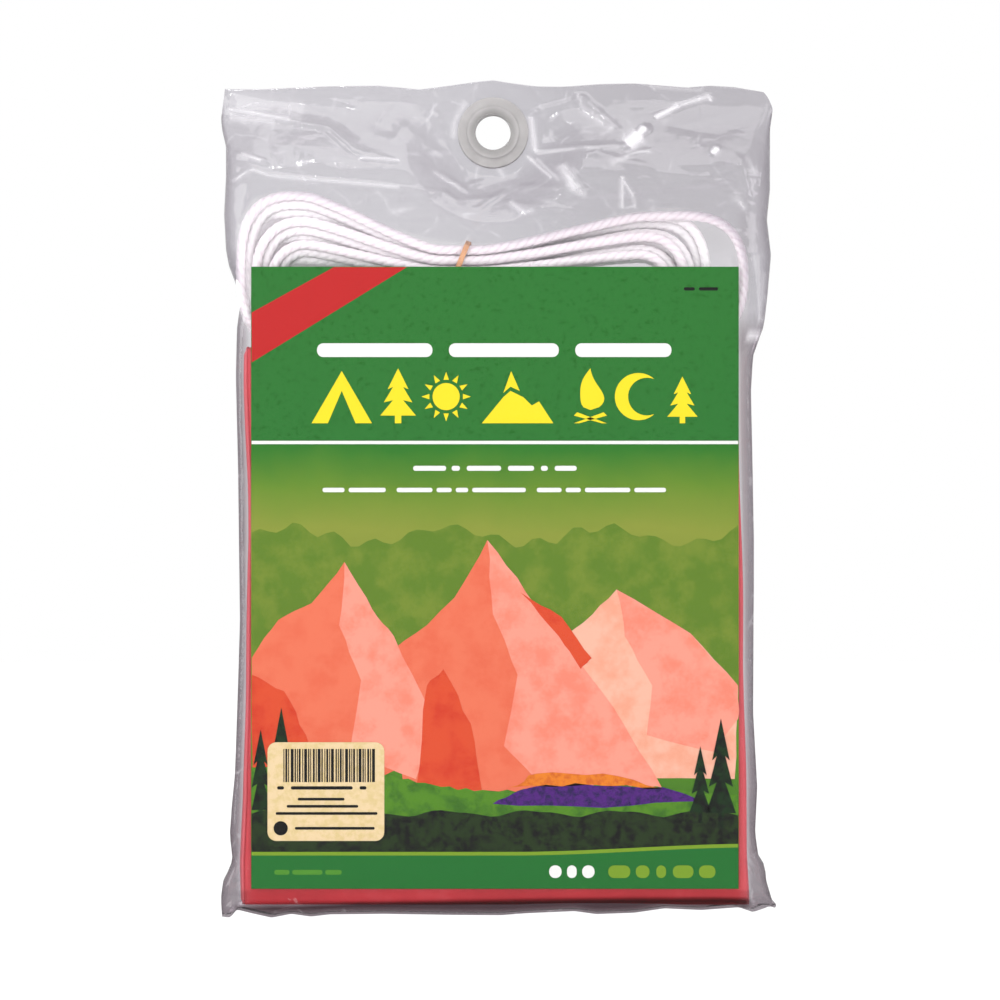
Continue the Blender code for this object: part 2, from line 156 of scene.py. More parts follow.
def share_of(tree: Tree, name: str) -> Socket:
    """A number that add_share gave to the mesh."""
    return add_node(tree, "ShaderNodeAttribute", {"attribute_name": name}).outputs["Fac"]


def calc(tree: Tree, operation: str, first: Feed, second: Feed = 0.5, clamp: bool = False) -> Socket:
    """One step of arithmetic on two values, held between 0 and 1 if clamp is set."""
    settings = {"operation": operation, "use_clamp": clamp}
    return add_node(tree, "ShaderNodeMath", settings, {0: first, 1: second}).outputs[0]


def mix_colours(tree: Tree, share: Feed, first: Feed, second: Feed) -> Socket:
    """The first colour at a share of 0, the second at 1."""
    return add_node(tree, "ShaderNodeMix", {"data_type": "RGBA"}, {0: share, 6: first, 7: second}).outputs[2]


def mix_shaders(tree: Tree, share: Feed, first: Socket, second: Socket) -> Socket:
    """The first shader at a share of 0, the second at 1."""
    return add_node(tree, "ShaderNodeMixShader", inputs={0: share, 1: first, 2: second}).outputs[0]


def white_light(tree: Tree, strength: float, kind: str = "ShaderNodeEmission") -> Socket:
    """A white emission of some strength, or a white background."""
    return add_node(tree, kind, inputs={"Color": WHITE_LIGHT, "Strength": strength}).outputs[0]


def spread(tree: Tree, value: Socket, low: float, high: float, start: float = 0.0,
           end: float = 1.0) -> Socket:
    """Turns a value between start and end into one between low and high.

    Args:
        tree: The node tree to add to.
        value: The value to turn.
        low: The result at the start and before it.
        high: The result at the end and past it.
        start: Where the value's span starts.
        end: Where it ends.

    Returns:
        The result.
    """
    return add_node(tree, "ShaderNodeMapRange", inputs={
        "Value": value, "From Min": start, "From Max": end, "To Min": low, "To Max": high,
    }).outputs[0]


def noise(tree: Tree, place: Socket, grain_mm: float, detail: float, roughness: float = 0.5) -> Socket:
    """A cloudy noise between 0 and 1.

    Args:
        tree: The node tree to add to.
        place: The places that it follows.
        grain_mm: The real size of its largest grains.
        detail: How many finer sizes lie on those.
        roughness: How strong each finer size is.

    Returns:
        The noise.
    """
    return add_node(tree, "ShaderNodeTexNoise", inputs={
        "Vector": place, "Scale": 1 / (grain_mm * MM), "Detail": detail, "Roughness": roughness,
    }).outputs["Fac"]


def cell_edges(tree: Tree, place: Socket, size_mm: float) -> Socket:
    """A net of random cells.

    Args:
        tree: The node tree to add to.
        place: The places that it follows.
        size_mm: The cells' real size.

    Returns:
        The distance to the nearest edge between cells, as a share of their size.
    """
    return add_node(tree, "ShaderNodeTexVoronoi", {"feature": "DISTANCE_TO_EDGE"}, {
        "Vector": place, "Scale": 1 / (size_mm * MM),
    }).outputs["Distance"]


def bump(tree: Tree, height: Socket, strength: float, rise_mm: float, over: Socket | None = None) -> Socket:
    """Tilts the surface to the eye as a relief would.

    Args:
        tree: The node tree to add to.
        height: The relief, between 0 and 1.
        strength: How much of the tilt is used.
        rise_mm: The relief's real height.
        over: The normal that it lies on, if it isn't the surface's own.

    Returns:
        The tilted normal.
    """
    inputs = {"Height": height, "Strength": strength, "Distance": rise_mm * MM}
    if over is not None:
        inputs["Normal"] = over
    return add_node(tree, "ShaderNodeBump", inputs=inputs).outputs["Normal"]


def empty_material(name: str) -> tuple[bpy.types.Material, Tree]:
    """Makes a material with no nodes yet.

    Args:
        name: What the real material is.

    Returns:
        The material and its node tree.
    """
    material = bpy.data.materials.new(name)
    material.use_nodes = True
    material.node_tree.nodes.clear()
    return material, material.node_tree


def show(tree: Tree, shader: Socket) -> None:
    """Feeds a shader to the material's surface."""
    add_node(tree, "ShaderNodeOutputMaterial", inputs={"Surface": shader})


def ramp(tree: Tree, feed: Socket, stops: list[tuple[float, Colour]]) -> Socket:
    """Adds a colour ramp.

    Args:
        tree: The node tree to add to.
        feed: The value that the ramp reads.
        stops: Pairs of (place, linear colour), in rising places.

    Returns:
        The ramp's colour.
    """
    node = add_node(tree, "ShaderNodeValToRGB", inputs={"Fac": feed})
    band = node.color_ramp
    band.elements[0].position, band.elements[0].color = stops[0]
    band.elements[1].position, band.elements[1].color = stops[-1]
    for place, colour in stops[1:-1]:
        band.elements.new(place).color = colour
    return node.outputs["Color"]


def make_object(name: str, points: np.ndarray, faces: list | np.ndarray, material: bpy.types.Material,
                smooth: bool = True) -> bpy.types.Object:
    """Makes a mesh object at the origin.

    Args:
        name: The piece's name.
        points: Its points, one row each.
        faces: Its faces, each a row of point numbers.
        material: Its material.
        smooth: Whether it is shaded smooth.

    Returns:
        The object.
    """
    mesh = bpy.data.meshes.new(name)
    mesh.from_pydata(points.reshape(-1, 3).tolist(), [], [list(map(int, face)) for face in faces])
    mesh.polygons.foreach_set("use_smooth", np.full(len(mesh.polygons), smooth))
    mesh.materials.append(material)
    mesh.validate()
    mesh.update()
    item = bpy.data.objects.new(name, mesh)
    bpy.context.scene.collection.objects.link(item)
    return item


def dress(node: str, material: bpy.types.Material) -> None:
    """Gives a CAD mesh that already has its true shape a new finish.

    Args:
        node: The mesh's node in the frame.
        material: The finish.
    """
    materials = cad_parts[node].data.materials
    materials.clear()
    materials.append(material)


def grid_faces(numbers: np.ndarray) -> np.ndarray:
    """The quads of a grid of point numbers, each wound down its left side first."""
    corners = (numbers[:-1, :-1], numbers[1:, :-1], numbers[1:, 1:], numbers[:-1, 1:])
    return np.stack([corner.ravel() for corner in corners], axis=1)


def add_uv(item: bpy.types.Object, per_point: np.ndarray) -> None:
    """Gives an object a UV map.

    Args:
        item: The object.
        per_point: One (u, v) row for each of its points.
    """
    corner_points = np.empty(len(item.data.loops), dtype=np.int32)
    item.data.loops.foreach_get("vertex_index", corner_points)
    layer = item.data.uv_layers.new(name="run")
    layer.data.foreach_set("uv", per_point[corner_points].astype(np.float32).ravel())


def add_share(item: bpy.types.Object, name: str, per_point: np.ndarray) -> None:
    """Gives an object a number at each of its points, which its material reads."""
    layer = item.data.attributes.new(name, "FLOAT", "POINT")
    layer.data.foreach_set("value", per_point.astype(np.float32).ravel())


def turn_out(item: bpy.types.Object) -> None:
    """Turns every face of a closed mesh outwards, by the sign of the volume that they enclose.

    Args:
        item: The object, whose faces are all wound alike.
    """
    mesh = item.data
    mesh.calc_loop_triangles()
    places = np.empty(len(mesh.vertices) * 3)
    mesh.vertices.foreach_get("co", places)
    corners = np.empty(len(mesh.loop_triangles) * 3, dtype=np.int32)
    mesh.loop_triangles.foreach_get("vertices", corners)
    a, b, c = places.reshape(-1, 3)[corners.reshape(-1, 3).T]
    if float(np.einsum("ij,ij->", a, np.cross(b, c))) < 0:
        mesh.flip_normals()


def turned(profile: np.ndarray, steps: int) -> tuple[np.ndarray, np.ndarray]:
    """A ring turned about the hang hole's axis.

    A point at radius r and depth y goes to (r cos a, y, r sin a) for every angle a.

    Args:
        profile: Rows of (radius, depth) round a closed section.
        steps: The number of angles.

    Returns:
        The points and the faces.
    """
    angles = np.linspace(0, 2 * np.pi, steps, endpoint=False)[:, None]
    radius, depth = profile[None, :, 0], profile[None, :, 1]
    points = np.stack(np.broadcast_arrays(radius * np.cos(angles), depth, radius * np.sin(angles)), axis=-1)
    numbers = np.arange(points.shape[0] * points.shape[1]).reshape(points.shape[:2])
    numbers = np.pad(numbers, ((0, 1), (0, 1)), mode="wrap")
    return points.reshape(-1, 3), grid_faces(numbers)


@dataclass(frozen=True)
class ClearFilm:
    """Low-density polyethylene film, blown and then handled.

    It passes most of the light, takes more where it is seen edge-on or lies bunched, and mirrors the lamps
    where a crease turns towards them. It carries a faint milky haze. Its darker, pinkish parts beside the
    tent and at the foot are partly bunched film and partly painted shade and a painted reflection of the
    red tent, and the white lines and streaks along its creases are painted highlights.
    Drawn tight over the card it looks almost clear.
    """

    face_on: str = "#e1e0e3"
    tilted: str = "#d8d6da"
    steep: str = "#c6c3c8"
    edge_on: str = "#b3afb5"
    tight: str = "#fbfafb"
    # The colour of bunched film and of painted shade, pinkish as a painted reflection of the red tent.
    gathered_shade: str = "#64404b"
    haze: str = "#fbf8fc"
    haze_share: float = 0.03
    # The strength of the white streaks, which are painted highlights.
    highlight_streak_share: float = 0.12
    roughness: float = 0.15
    gloss_face_on: float = 0.05
    gloss_edge_on: float = 0.5
    crinkle_mm: float = 17.0
    ripple_mm: float = 4.0
    stray_mm: float = 1000 / 55
    stray_share: float = 0.012
    # The width, as a share of a cell, of the white lines along the cells' edges: painted highlights.
    highlight_line: float = 0.035

    def material(self) -> bpy.types.Material:
        """Builds the film's material. Its gloss is that of a dielectric: F + (G - F) (1 - cos a)^5.

        Returns:
            The material, reading the bag's numbers for bunching and shade, tightness and painted highlights.
        """
        material, tree = empty_material("clear_polyethylene_film")
        place = own_place(tree)
        ripple = noise(tree, place, self.ripple_mm, 3.0)
        bent = add_node(tree, "ShaderNodeTexNoise", inputs={
            "Vector": place, "Scale": 1 / (self.stray_mm * MM), "Detail": 2.0,
        }).outputs["Color"]
        strayed = add_node(tree, "ShaderNodeMix", {"data_type": "VECTOR"}, {
            0: self.stray_share, 4: place, 5: bent,
        }).outputs[1]
        cells = cell_edges(tree, strayed, self.crinkle_mm)
        tight, gathers_and_shade, painted_highlight = (share_of(tree, name) for name in ("tight", "gathers_and_shade", "painted_highlight"))
        loose = calc(tree, "SUBTRACT", 1.0, tight)
        rough = bump(tree, calc(tree, "MULTIPLY", ripple, loose), 0.35, 0.5)
        normal = bump(tree, calc(tree, "MULTIPLY", cells, loose), 0.3, 2.0, rough)
        turn = add_node(tree, "ShaderNodeLayerWeight", inputs={
            "Blend": 0.5, "Normal": normal,
        }).outputs["Facing"]
        tint = ramp(tree, calc(tree, "SQRT", turn), [
            (0.05, srgb(self.face_on)), (0.45, srgb(self.tilted)), (0.75, srgb(self.steep)),
            (1.0, srgb(self.edge_on)),
        ])
        cleared = mix_colours(tree, tight, tint, srgb(self.tight))
        # Bunched film and painted shade turn the tint towards that dark, pinkish colour.
        whole_tint = mix_colours(tree, gathers_and_shade, cleared, srgb(self.gathered_shade))
        clear = add_node(tree, "ShaderNodeBsdfTransparent", inputs={"Color": whole_tint}).outputs[0]
        milk_and_highlight = add_node(tree, "ShaderNodeBsdfDiffuse", inputs={"Color": srgb(self.haze)}).outputs[0]
        # Painted highlights: white lines along the cells' edges, in streaks; the haze itself is the film's
        # own.
        lines = spread(tree, cells, 0.0, 1.0, self.highlight_line, 0.0)
        highlight_streaks = spread(tree, ripple, 0.0, self.highlight_streak_share, 0.48, 0.64)
        haze_and_highlights = calc(tree, "ADD", calc(tree, "MULTIPLY", lines, highlight_streaks), self.haze_share)
        haze_and_highlight_share = calc(tree, "ADD", calc(tree, "MULTIPLY", loose, haze_and_highlights), painted_highlight, clamp=True)
        mirror = add_node(tree, "ShaderNodeBsdfGlossy", inputs={
            "Color": WHITE_LIGHT, "Roughness": self.roughness, "Normal": normal,
        }).outputs[0]
        gloss = spread(tree, calc(tree, "POWER", turn, 5.0), self.gloss_face_on, self.gloss_edge_on)
        show(tree, mix_shaders(tree, gloss, mix_shaders(tree, haze_and_highlight_share, clear, milk_and_highlight), mirror))
        return material


@dataclass(frozen=True)
class TentFilm:
    """Red polyethylene sheet of 0.06 mm thickness, folded many times.

    Along the folds it is drawn paler and pinker: partly light that sinks into the stack and comes back,
    partly painted light. The skin has a soft waxy sheen.
    """

    deep: str = "#cb2b35"
    body: str = "#d8343e"
    pale: str = "#e3525a"
    # Paler pink along the folds: partly light through the thin folded film, partly painted light.
    fold: str = "#f27982"
    roughness: float = 0.38
    glow_share: float = 0.18
    cloud_mm: float = 1000 / 38
    crease_mm: float = 1000 / 62
    film_mm: float = 1000 / 3600

    def material(self) -> bpy.types.Material:
        """Builds the sheet's material, with fine lines where the films lie on each other.

        Returns:
            The material, which reads the tube's own number "fold".
        """
        material, tree = empty_material("red_polyethylene_sheet")
        place = own_place(tree)
        shade = ramp(tree, noise(tree, place, self.cloud_mm, 4.0, 0.6), [
            (0.3, srgb(self.deep)), (0.55, srgb(self.body)), (0.8, srgb(self.pale)),
        ])
        # Paler pink along the folds: partly light through the thin folded film, partly painted light.
        colour = mix_colours(tree, share_of(tree, "fold"), shade, srgb(self.fold))
        stack = add_node(tree, "ShaderNodeMapping", {"vector_type": "POINT"}, {
            "Vector": place, "Scale": (0.05, 1.0, 0.05),
        }).outputs["Vector"]
        creased = bump(tree, cell_edges(tree, place, self.crease_mm), 0.35, 0.5)
        normal = bump(tree, noise(tree, stack, self.film_mm, 2.0), 0.45, 0.2, creased)
        skin = add_node(tree, "ShaderNodeBsdfPrincipled", inputs={
            "Base Color": colour, "Roughness": self.roughness, "IOR": 1.51, "Normal": normal,
        }).outputs[0]
        glow = add_node(tree, "ShaderNodeBsdfTranslucent", inputs={
            "Color": colour, "Normal": normal,
        }).outputs[0]
        show(tree, mix_shaders(tree, self.glow_share, skin, glow))
        return material


@dataclass(frozen=True)
class LaidCord:
    """Polypropylene cord of three strands: white fibres with a silky sheen, and painted shade in the grooves.

    The turns behind the first are drawn whiter, as painted light: between real strands light passes on from
    one to the next, and a render loses most of it.
    """

    crown: str = "#ece3e8"
    # Painted shade: the grey of the grooves between the strands.
    groove_shade: str = "#e2d5dc"
    # Painted light: the whiter colour of the turns behind the first.
    buried_light: str = "#fcf8fa"
    fibre_mm: float = 0.22
    fibre_length_mm: float = 9.0

    def material(self) -> bpy.types.Material:
        """Builds the cord's material, with the fibres drawn coarser than real ones so that they show.

        Returns:
            The material, which reads its UV map and the cord's numbers for crowns and painted light behind.
        """
        material, tree = empty_material("white_polypropylene_cord")
        run = add_node(tree, "ShaderNodeUVMap", {"uv_map": "run"}).outputs["UV"]
        fibres = add_node(tree, "ShaderNodeTexNoise", {"noise_dimensions": "2D"}, {
            "Vector": add_node(tree, "ShaderNodeMapping", inputs={
                "Vector": run, "Scale": (1 / (self.fibre_mm * MM), 1 / (self.fibre_length_mm * MM), 1.0),
            }).outputs["Vector"],
            "Scale": 1.0, "Detail": 2.0,
        }).outputs["Fac"]
        # Painted shade in the grooves between the strands.
        colour = mix_colours(tree, share_of(tree, "crown"), srgb(self.groove_shade), srgb(self.crown))
        # Painted light: the turns behind the first are drawn whiter.
        whiter = mix_colours(tree, share_of(tree, "buried_light"), colour, srgb(self.buried_light))
        skin = add_node(tree, "ShaderNodeBsdfPrincipled", inputs={
            "Base Color": whiter, "Roughness": 0.48, "Sheen Weight": 0.25, "Sheen Roughness": 0.4,
            "Subsurface Weight": 0.9, "Subsurface Radius": (1.0, 1.0, 1.0), "Subsurface Scale": 4.5 * MM,
            "Normal": bump(tree, fibres, 0.35, 0.15),
        }).outputs[0]
        show(tree, skin)
        return material


@dataclass(frozen=True)
class Plain:
    """A smooth or papery finish with a little unevenness in its colour and surface."""

    name: str
    colour: str
    fleck: str
    grain_mm: float
    roughness: float
    relief_mm: float = 0.02
    specular: float = 0.5
    as_seen: bool = False

    def material(self) -> bpy.types.Material:
        """Builds the material from a noise at the grain's real size.

        Returns:
            The material.
        """
        material, tree = empty_material(self.name)
        grain = noise(tree, own_place(tree), self.grain_mm, 4.0, 0.62)
        tone = unlit if self.as_seen else srgb
        skin = add_node(tree, "ShaderNodeBsdfPrincipled", inputs={
            "Base Color": ramp(tree, grain, [(0.36, tone(self.fleck)), (0.56, tone(self.colour))]),
            "Roughness": self.roughness, "Specular IOR Level": self.specular,
            "Normal": bump(tree, grain, 0.3, self.relief_mm),
        }).outputs[0]
        show(tree, skin)
        return material


@dataclass(frozen=True)
class EyeletPlastic:
    """Natural polypropylene, injection moulded: milky, half clear, glossy on its rounded edges."""

    colour: str = "#bebbbb"
    shade: str = "#b0adad"
    # Painted shade: the darker colour towards the bore.
    bore_shade: str = "#8a8887"
    passing: str = "#dcdbdb"
    cloud_mm: float = 1000 / 160
    solid_face_on: float = 0.62
    solid_edge_on: float = 0.75

    def material(self) -> bpy.types.Material:
        """Builds the plastic's material.

        Returns:
            The material, which reads the eyelet's own number "wall", the share of painted shade towards the
            bore.
        """
        material, tree = empty_material("natural_polypropylene")
        cloud = noise(tree, own_place(tree), self.cloud_mm, 2.0)
        moulded = ramp(tree, cloud, [(0.3, srgb(self.shade)), (0.7, srgb(self.colour))])
        # Painted shade towards the bore, by the wall number.
        skin = add_node(tree, "ShaderNodeBsdfPrincipled", inputs={
            "Base Color": mix_colours(tree, share_of(tree, "wall"), moulded, srgb(self.bore_shade)),
            "Roughness": 0.26, "Specular IOR Level": 0.4, "Subsurface Weight": 0.3,
            "Subsurface Radius": (1.0, 1.0, 1.0), "Subsurface Scale": 1.2 * MM,
        }).outputs[0]
        clear = add_node(tree, "ShaderNodeBsdfTransparent", inputs={"Color": srgb(self.passing)}).outputs[0]
        turn = add_node(tree, "ShaderNodeLayerWeight", inputs={"Blend": 0.35}).outputs["Facing"]
        share = spread(tree, turn, self.solid_face_on, self.solid_edge_on)
        show(tree, mix_shaders(tree, share, clear, skin))
        return material


@dataclass
class Studio:
    """The camera, the white surroundings, the lamps and the pale floor."""

    distance: float = 1.01
    view_width: float = 0.364
    sensor_mm: float = 36.0
    aim_x: float = 0.00255
    aim_z: float = -0.1351
    card_plane: float = -0.0112
    pack_middle: tuple[float, float, float] = (0.0, 0.0, -0.12)
    floor_drop: float = 0.045
    floor_radius: float = 2.4
    floor_sides: int = 96
    floor_tone: Colour = (0.9, 0.9, 0.9, 1.0)
    floor_glow: float = 0.42
    floor_mirrored: float = 0.25
    floor_evened: float = 0.85
    white_seen: float = 1.0
    white_lit: float = 0.9
    mirrored_greys: Outline = ((0.0, 0.22), (0.12, 0.30), (0.34, 0.62), (0.6, 0.72), (1.0, 0.80))

    def place_camera(self) -> None:
        """Sets the camera so that the picture's width spans view_width at the card's plane."""
        data = bpy.data.cameras.new("camera")
        data.type = "PERSP"
        data.sensor_width = self.sensor_mm
        data.lens = self.sensor_mm * self.distance / self.view_width
        camera = bpy.data.objects.new("camera", data)
        camera.location = (self.aim_x, self.card_plane - self.distance, self.aim_z)
        camera.rotation_euler = (math.pi / 2, 0.0, 0.0)
        bpy.context.scene.collection.objects.link(camera)
        bpy.context.scene.camera = camera

    def surround(self) -> None:
        """Makes the white surroundings: full white to the eye, softer as a light, grey behind the camera."""
        world = bpy.data.worlds.new("white_surround")
        world.use_nodes = True
        tree = world.node_tree
        tree.nodes.clear()
        path = add_node(tree, "ShaderNodeLightPath").outputs
        direction = add_node(tree, "ShaderNodeTexCoord").outputs["Generated"]
        towards = add_node(tree, "ShaderNodeSeparateXYZ", inputs={"Vector": direction}).outputs["Y"]
        greys = [(share, (grey, grey, grey, 1.0)) for share, grey in self.mirrored_greys]
        mirrored = add_node(tree, "ShaderNodeBackground", inputs={
            "Color": ramp(tree, spread(tree, towards, 0.0, 1.0, -1.0, 1.0), greys), "Strength": 1.0,
        }).outputs[0]
        even = white_light(tree, self.white_lit, "ShaderNodeBackground")
        lit = mix_shaders(tree, path["Is Glossy Ray"], even, mirrored)
        seen = white_light(tree, self.white_seen, "ShaderNodeBackground")
        both = mix_shaders(tree, path["Is Camera Ray"], lit, seen)
        add_node(tree, "ShaderNodeOutputWorld", inputs={"Surface": both})
        bpy.context.scene.world = world

    def add_lamp(self, name: str, place: tuple[float, float, float], size: float, power: float,
                 mirrored: bool = True) -> None:
        """Adds a square softbox aimed at the middle of the pack.

        Args:
            name: The lamp's name.
            place: Where it stands.
            size: The length of its side.
            power: Its power in watts.
            mirrored: Whether glossy surfaces show it, which a crossed polariser would prevent.
        """
        data = bpy.data.lights.new(name, "AREA")
        data.shape = "SQUARE"
        data.size = size
        data.energy = power
        lamp = bpy.data.objects.new(name, data)
        lamp.location = place
        aim = np.array(self.pack_middle) - np.array(place)
        yaw = math.atan2(-aim[0], aim[1])
        pitch = math.atan2(aim[2], math.hypot(aim[0], aim[1]))
        lamp.rotation_euler = (math.pi / 2 + pitch, 0.0, yaw)
        lamp.visible_glossy = mirrored
        bpy.context.scene.collection.objects.link(lamp)

    def lay_floor(self) -> None:
        """Lays a pale round floor a little below the hanging pack."""
        steps = self.floor_sides
        angles = np.linspace(0, 2 * np.pi, steps, endpoint=False)
        points = np.stack([
            self.floor_radius * np.cos(angles), self.floor_radius * np.sin(angles),
            np.full(steps, CAD_BOX[0][2] - self.floor_drop),
        ], axis=1)
        material, tree = empty_material("white_seamless_paper")
        matt = add_node(tree, "ShaderNodeBsdfDiffuse", inputs={"Color": self.floor_tone}).outputs[0]
        glow = white_light(tree, self.floor_glow)
        lit = add_node(tree, "ShaderNodeAddShader", inputs={0: matt, 1: glow}).outputs[0]
        path = add_node(tree, "ShaderNodeLightPath").outputs
        evened = calc(tree, "MULTIPLY", path["Is Camera Ray"], self.floor_evened)
        paper = mix_shaders(tree, evened, lit, white_light(tree, 1.0))
        show(tree, mix_shaders(tree, path["Is Glossy Ray"], paper, white_light(tree, self.floor_mirrored)))
        floor = make_object("floor", points, [range(steps)], material, smooth=False)

    def build(self) -> None:
        """Builds the whole studio."""
        bpy.context.scene.view_settings.view_transform = "Standard"
        self.place_camera()
        self.surround()
        self.add_lamp("left_box", (-1.00, -0.85, 0.15), 0.80, 5.0)
        self.add_lamp("right_box", (1.00, -0.90, 0.25), 0.60, 2.5)
        self.add_lamp("top_box", (0.10, -0.75, 0.90), 0.80, 4.0)
        self.add_lamp("front_fill", (-0.15, -1.60, 0.05), 1.00, 7.0, mirrored=False)
        self.add_lamp("spark_lamp", (-0.30, -1.20, 0.70), 0.07, 0.8)
        self.add_lamp("back_box", (-0.60, 1.20, 0.50), 0.50, 8.0)
        self.lay_floor()
        log.info("studio: camera, surroundings, six lamps and floor")


@dataclass
class Hank:
    """The guy cord, wound into one hank, and the band round its waist."""

    diameter: float = 0.0032
    step: float = 0.0038
    end_step: float = 0.0056
    layers: int = 5
    layer_turns: int = 3
    layer_step: float = 0.0037
    core: float = 0.0020
    inner_crown: float = 0.0080
    left_crown: float = 0.0318
    right_crown: float = 0.0248
    inner_foot: float = 0.0104
    foot: float = 0.0224
    left_reach: float = 0.0812
    right_reach: float = 0.0920
    waist_x: float = -0.0124
    waist_run: float = 0.0088
    loose_reach: float = 0.0134
    strand_flat: float = 0.8
    crown_flat: float = 0.6
    waist_z: float = -0.055265
    crown_spiral: float = 0.25
    climb_turns: float = 0.5
    flare_line: float = 0.7
    slim_share: float = 0.3
    square_share: float = 0.8
    run_share: float = 4 / 14
    rounding: float = 0.004
    lay: float = 0.0105
    groove_share: float = 0.15
    sides: int = 18
    rings: int = 4500
    real_length: float = 5.4
    fibre_stand: float = 0.00026
    stray: float = 0.0004
    stray_waves: float = 0.62
    left_offsets: tuple[float, ...] = (0.0, 0.25, 0.667, -0.167, 0.0)
    right_offsets: tuple[float, ...] = (0.1, 0.25, 0.25, 0.25, 0.0)
    waist_drop: float = 0.0018
    waist_nestles: tuple[float, ...] = (0.0012, 0.0010, 0.0008, 0.0005, 0.0)
    left_nestles: tuple[float, ...] = (0.0016, 0.0020, 0.0036, 0.0018, 0.0)
    right_nestles: tuple[float, ...] = (0.0016, 0.0020, 0.0022, 0.0009, 0.0)
    buried_depth: float = 0.004

    def route(self) -> np.ndarray:
        """The cord's middle line, in the turns of the CAD model, with its corners rounded.

        A turn t starts at the middle of the lower run and goes right. Both runs are level at the waist and
        flare to the crown or foot of each end, where a tall half superellipse joins them:
        (w |cos a|^p, h sin a |sin a|^(p-1)). A slow sine strays each turn from its place beyond the waist.
        In the upper run each layer settles forwards, and its crowns shift outwards or inwards by a share of
        a turn, so that it shows in the gaps of those before it.

        Returns:
            One row of (x, y, z) for each ring.
        """
        turns = np.linspace(0, self.layers * self.layer_turns, self.rings)
        layer, within = np.divmod(turns / self.layer_turns, 1.0)
        outwards = (self.layers - 1 - layer) % 2 == 0
        rank = self.layer_turns * np.where(outwards, within, 1 - within)
        climbed = sum(
            ease((turns - index * self.layer_turns + self.climb_turns / 2) / self.climb_turns)
            for index in range(1, self.layers)
        )
        depth = ((self.layers - 1) / 2 - climbed) * self.layer_step
        share = turns % 1.0
        right = share <= 0.5
        laid = np.round(climbed).astype(int)
        offset = np.where(right, np.array(self.right_offsets)[laid], np.array(self.left_offsets)[laid])
        past = share - np.where(right, 0.25, 0.75)
        past = np.where(right, np.clip(past, 0, None), np.clip(past, None, 0))
        offset = offset - np.where(outwards, 0.0, 2.0 * past)
        share = 2 * np.where(right, share, 1 - share)
        waist = self.core + rank * self.step
        last = turns - (self.layers * self.layer_turns - 1)
        loose = np.where((last > 0) & (last < 0.5), np.sin(2 * np.pi * np.clip(last, 0, 0.5)) ** 2, 0.0)
        crown_rank = self.layer_turns - self.crown_spiral
        rank = rank + np.clip(crown_rank - rank, 0, None) * loose
        crown = np.where(right, self.right_crown, self.left_crown)
        top = self.inner_crown + (crown - self.inner_crown) * (rank - offset) / crown_rank
        foot = self.inner_foot + (self.foot - self.inner_foot) * rank / self.layer_turns
        half = (top + foot) / 2
        outward = rank / self.layer_turns
        wide = half * (1 - self.slim_share * outward)
        reach = np.where(right, self.right_reach, self.left_reach)
        inner_half = (self.inner_crown + self.inner_foot) / 2
        flare_run = reach - self.layer_turns * self.end_step - inner_half - self.waist_run
        run_end = reach - (self.layer_turns - rank) * self.end_step + self.loose_reach * loose - wide
        low = share <= self.run_share
        end = ~low & (share < 1 - self.run_share)
        angle = np.pi * ((share - self.run_share) / (1 - 2 * self.run_share) - 0.5)
        power = 2 / (2 + self.square_share * outward ** 2)
        run = np.where(low, share, 1 - share) / self.run_share * run_end
        bent = run_end + wide * np.abs(np.cos(angle)) ** power
        along = np.where(end, bent, run)
        gone = np.clip((run - self.waist_run) / flare_run, 0, 1)
        flare = self.flare_line * gone + (1 - self.flare_line) * ease(gone)
        rise = waist + (np.where(low, foot, top) - waist) * flare
        arc = (top - foot) / 2 + half * np.sign(angle) * np.abs(np.sin(angle)) ** power
        drop = np.where(outwards | low, 0.0, self.waist_drop) * (1 - flare)
        height = np.where(end, arc, np.where(low, -rise, rise - drop))
        height = height + self.stray * flare * np.sin(2 * np.pi * self.stray_waves * turns + 1.0)
        lobe_nestle = np.where(right, np.array(self.right_nestles)[laid], np.array(self.left_nestles)[laid])
        settled = np.array(self.waist_nestles)[laid] + lobe_nestle * flare
        around = np.where(end, (1 + np.sin(angle)) / 2, np.where(low, 0.0, 1.0))
        depth = depth - settled * around
        way = np.where(right, 1.0, -1.0)
        middle = np.stack([self.waist_x + way * along, depth, self.waist_z + height], axis=1)
        return self.spaced(middle)

    def spaced(self, middle: np.ndarray) -> np.ndarray:
        """Spaces the rings evenly along the line and rounds its corners by a running mean of 8 mm.

        Args:
            middle: The line's points.

        Returns:
            As many points, the same distance apart.
        """
        gone = np.concatenate([[0.0], np.cumsum(np.linalg.norm(np.diff(middle, axis=0), axis=1))])
        even = np.linspace(0, gone[-1], self.rings)
        reach = int(round(self.rounding / (even[1] - even[0])))
        line = np.stack([np.interp(even, gone, middle[:, axis]) for axis in range(3)], axis=1)
        padded = np.pad(line, ((reach, reach), (0, 0)), mode="edge")
        weights = np.hanning(2 * reach + 3)[1:-1]
        weights /= weights.sum()
        return np.stack([np.convolve(padded[:, axis], weights, mode="valid") for axis in range(3)], axis=1)

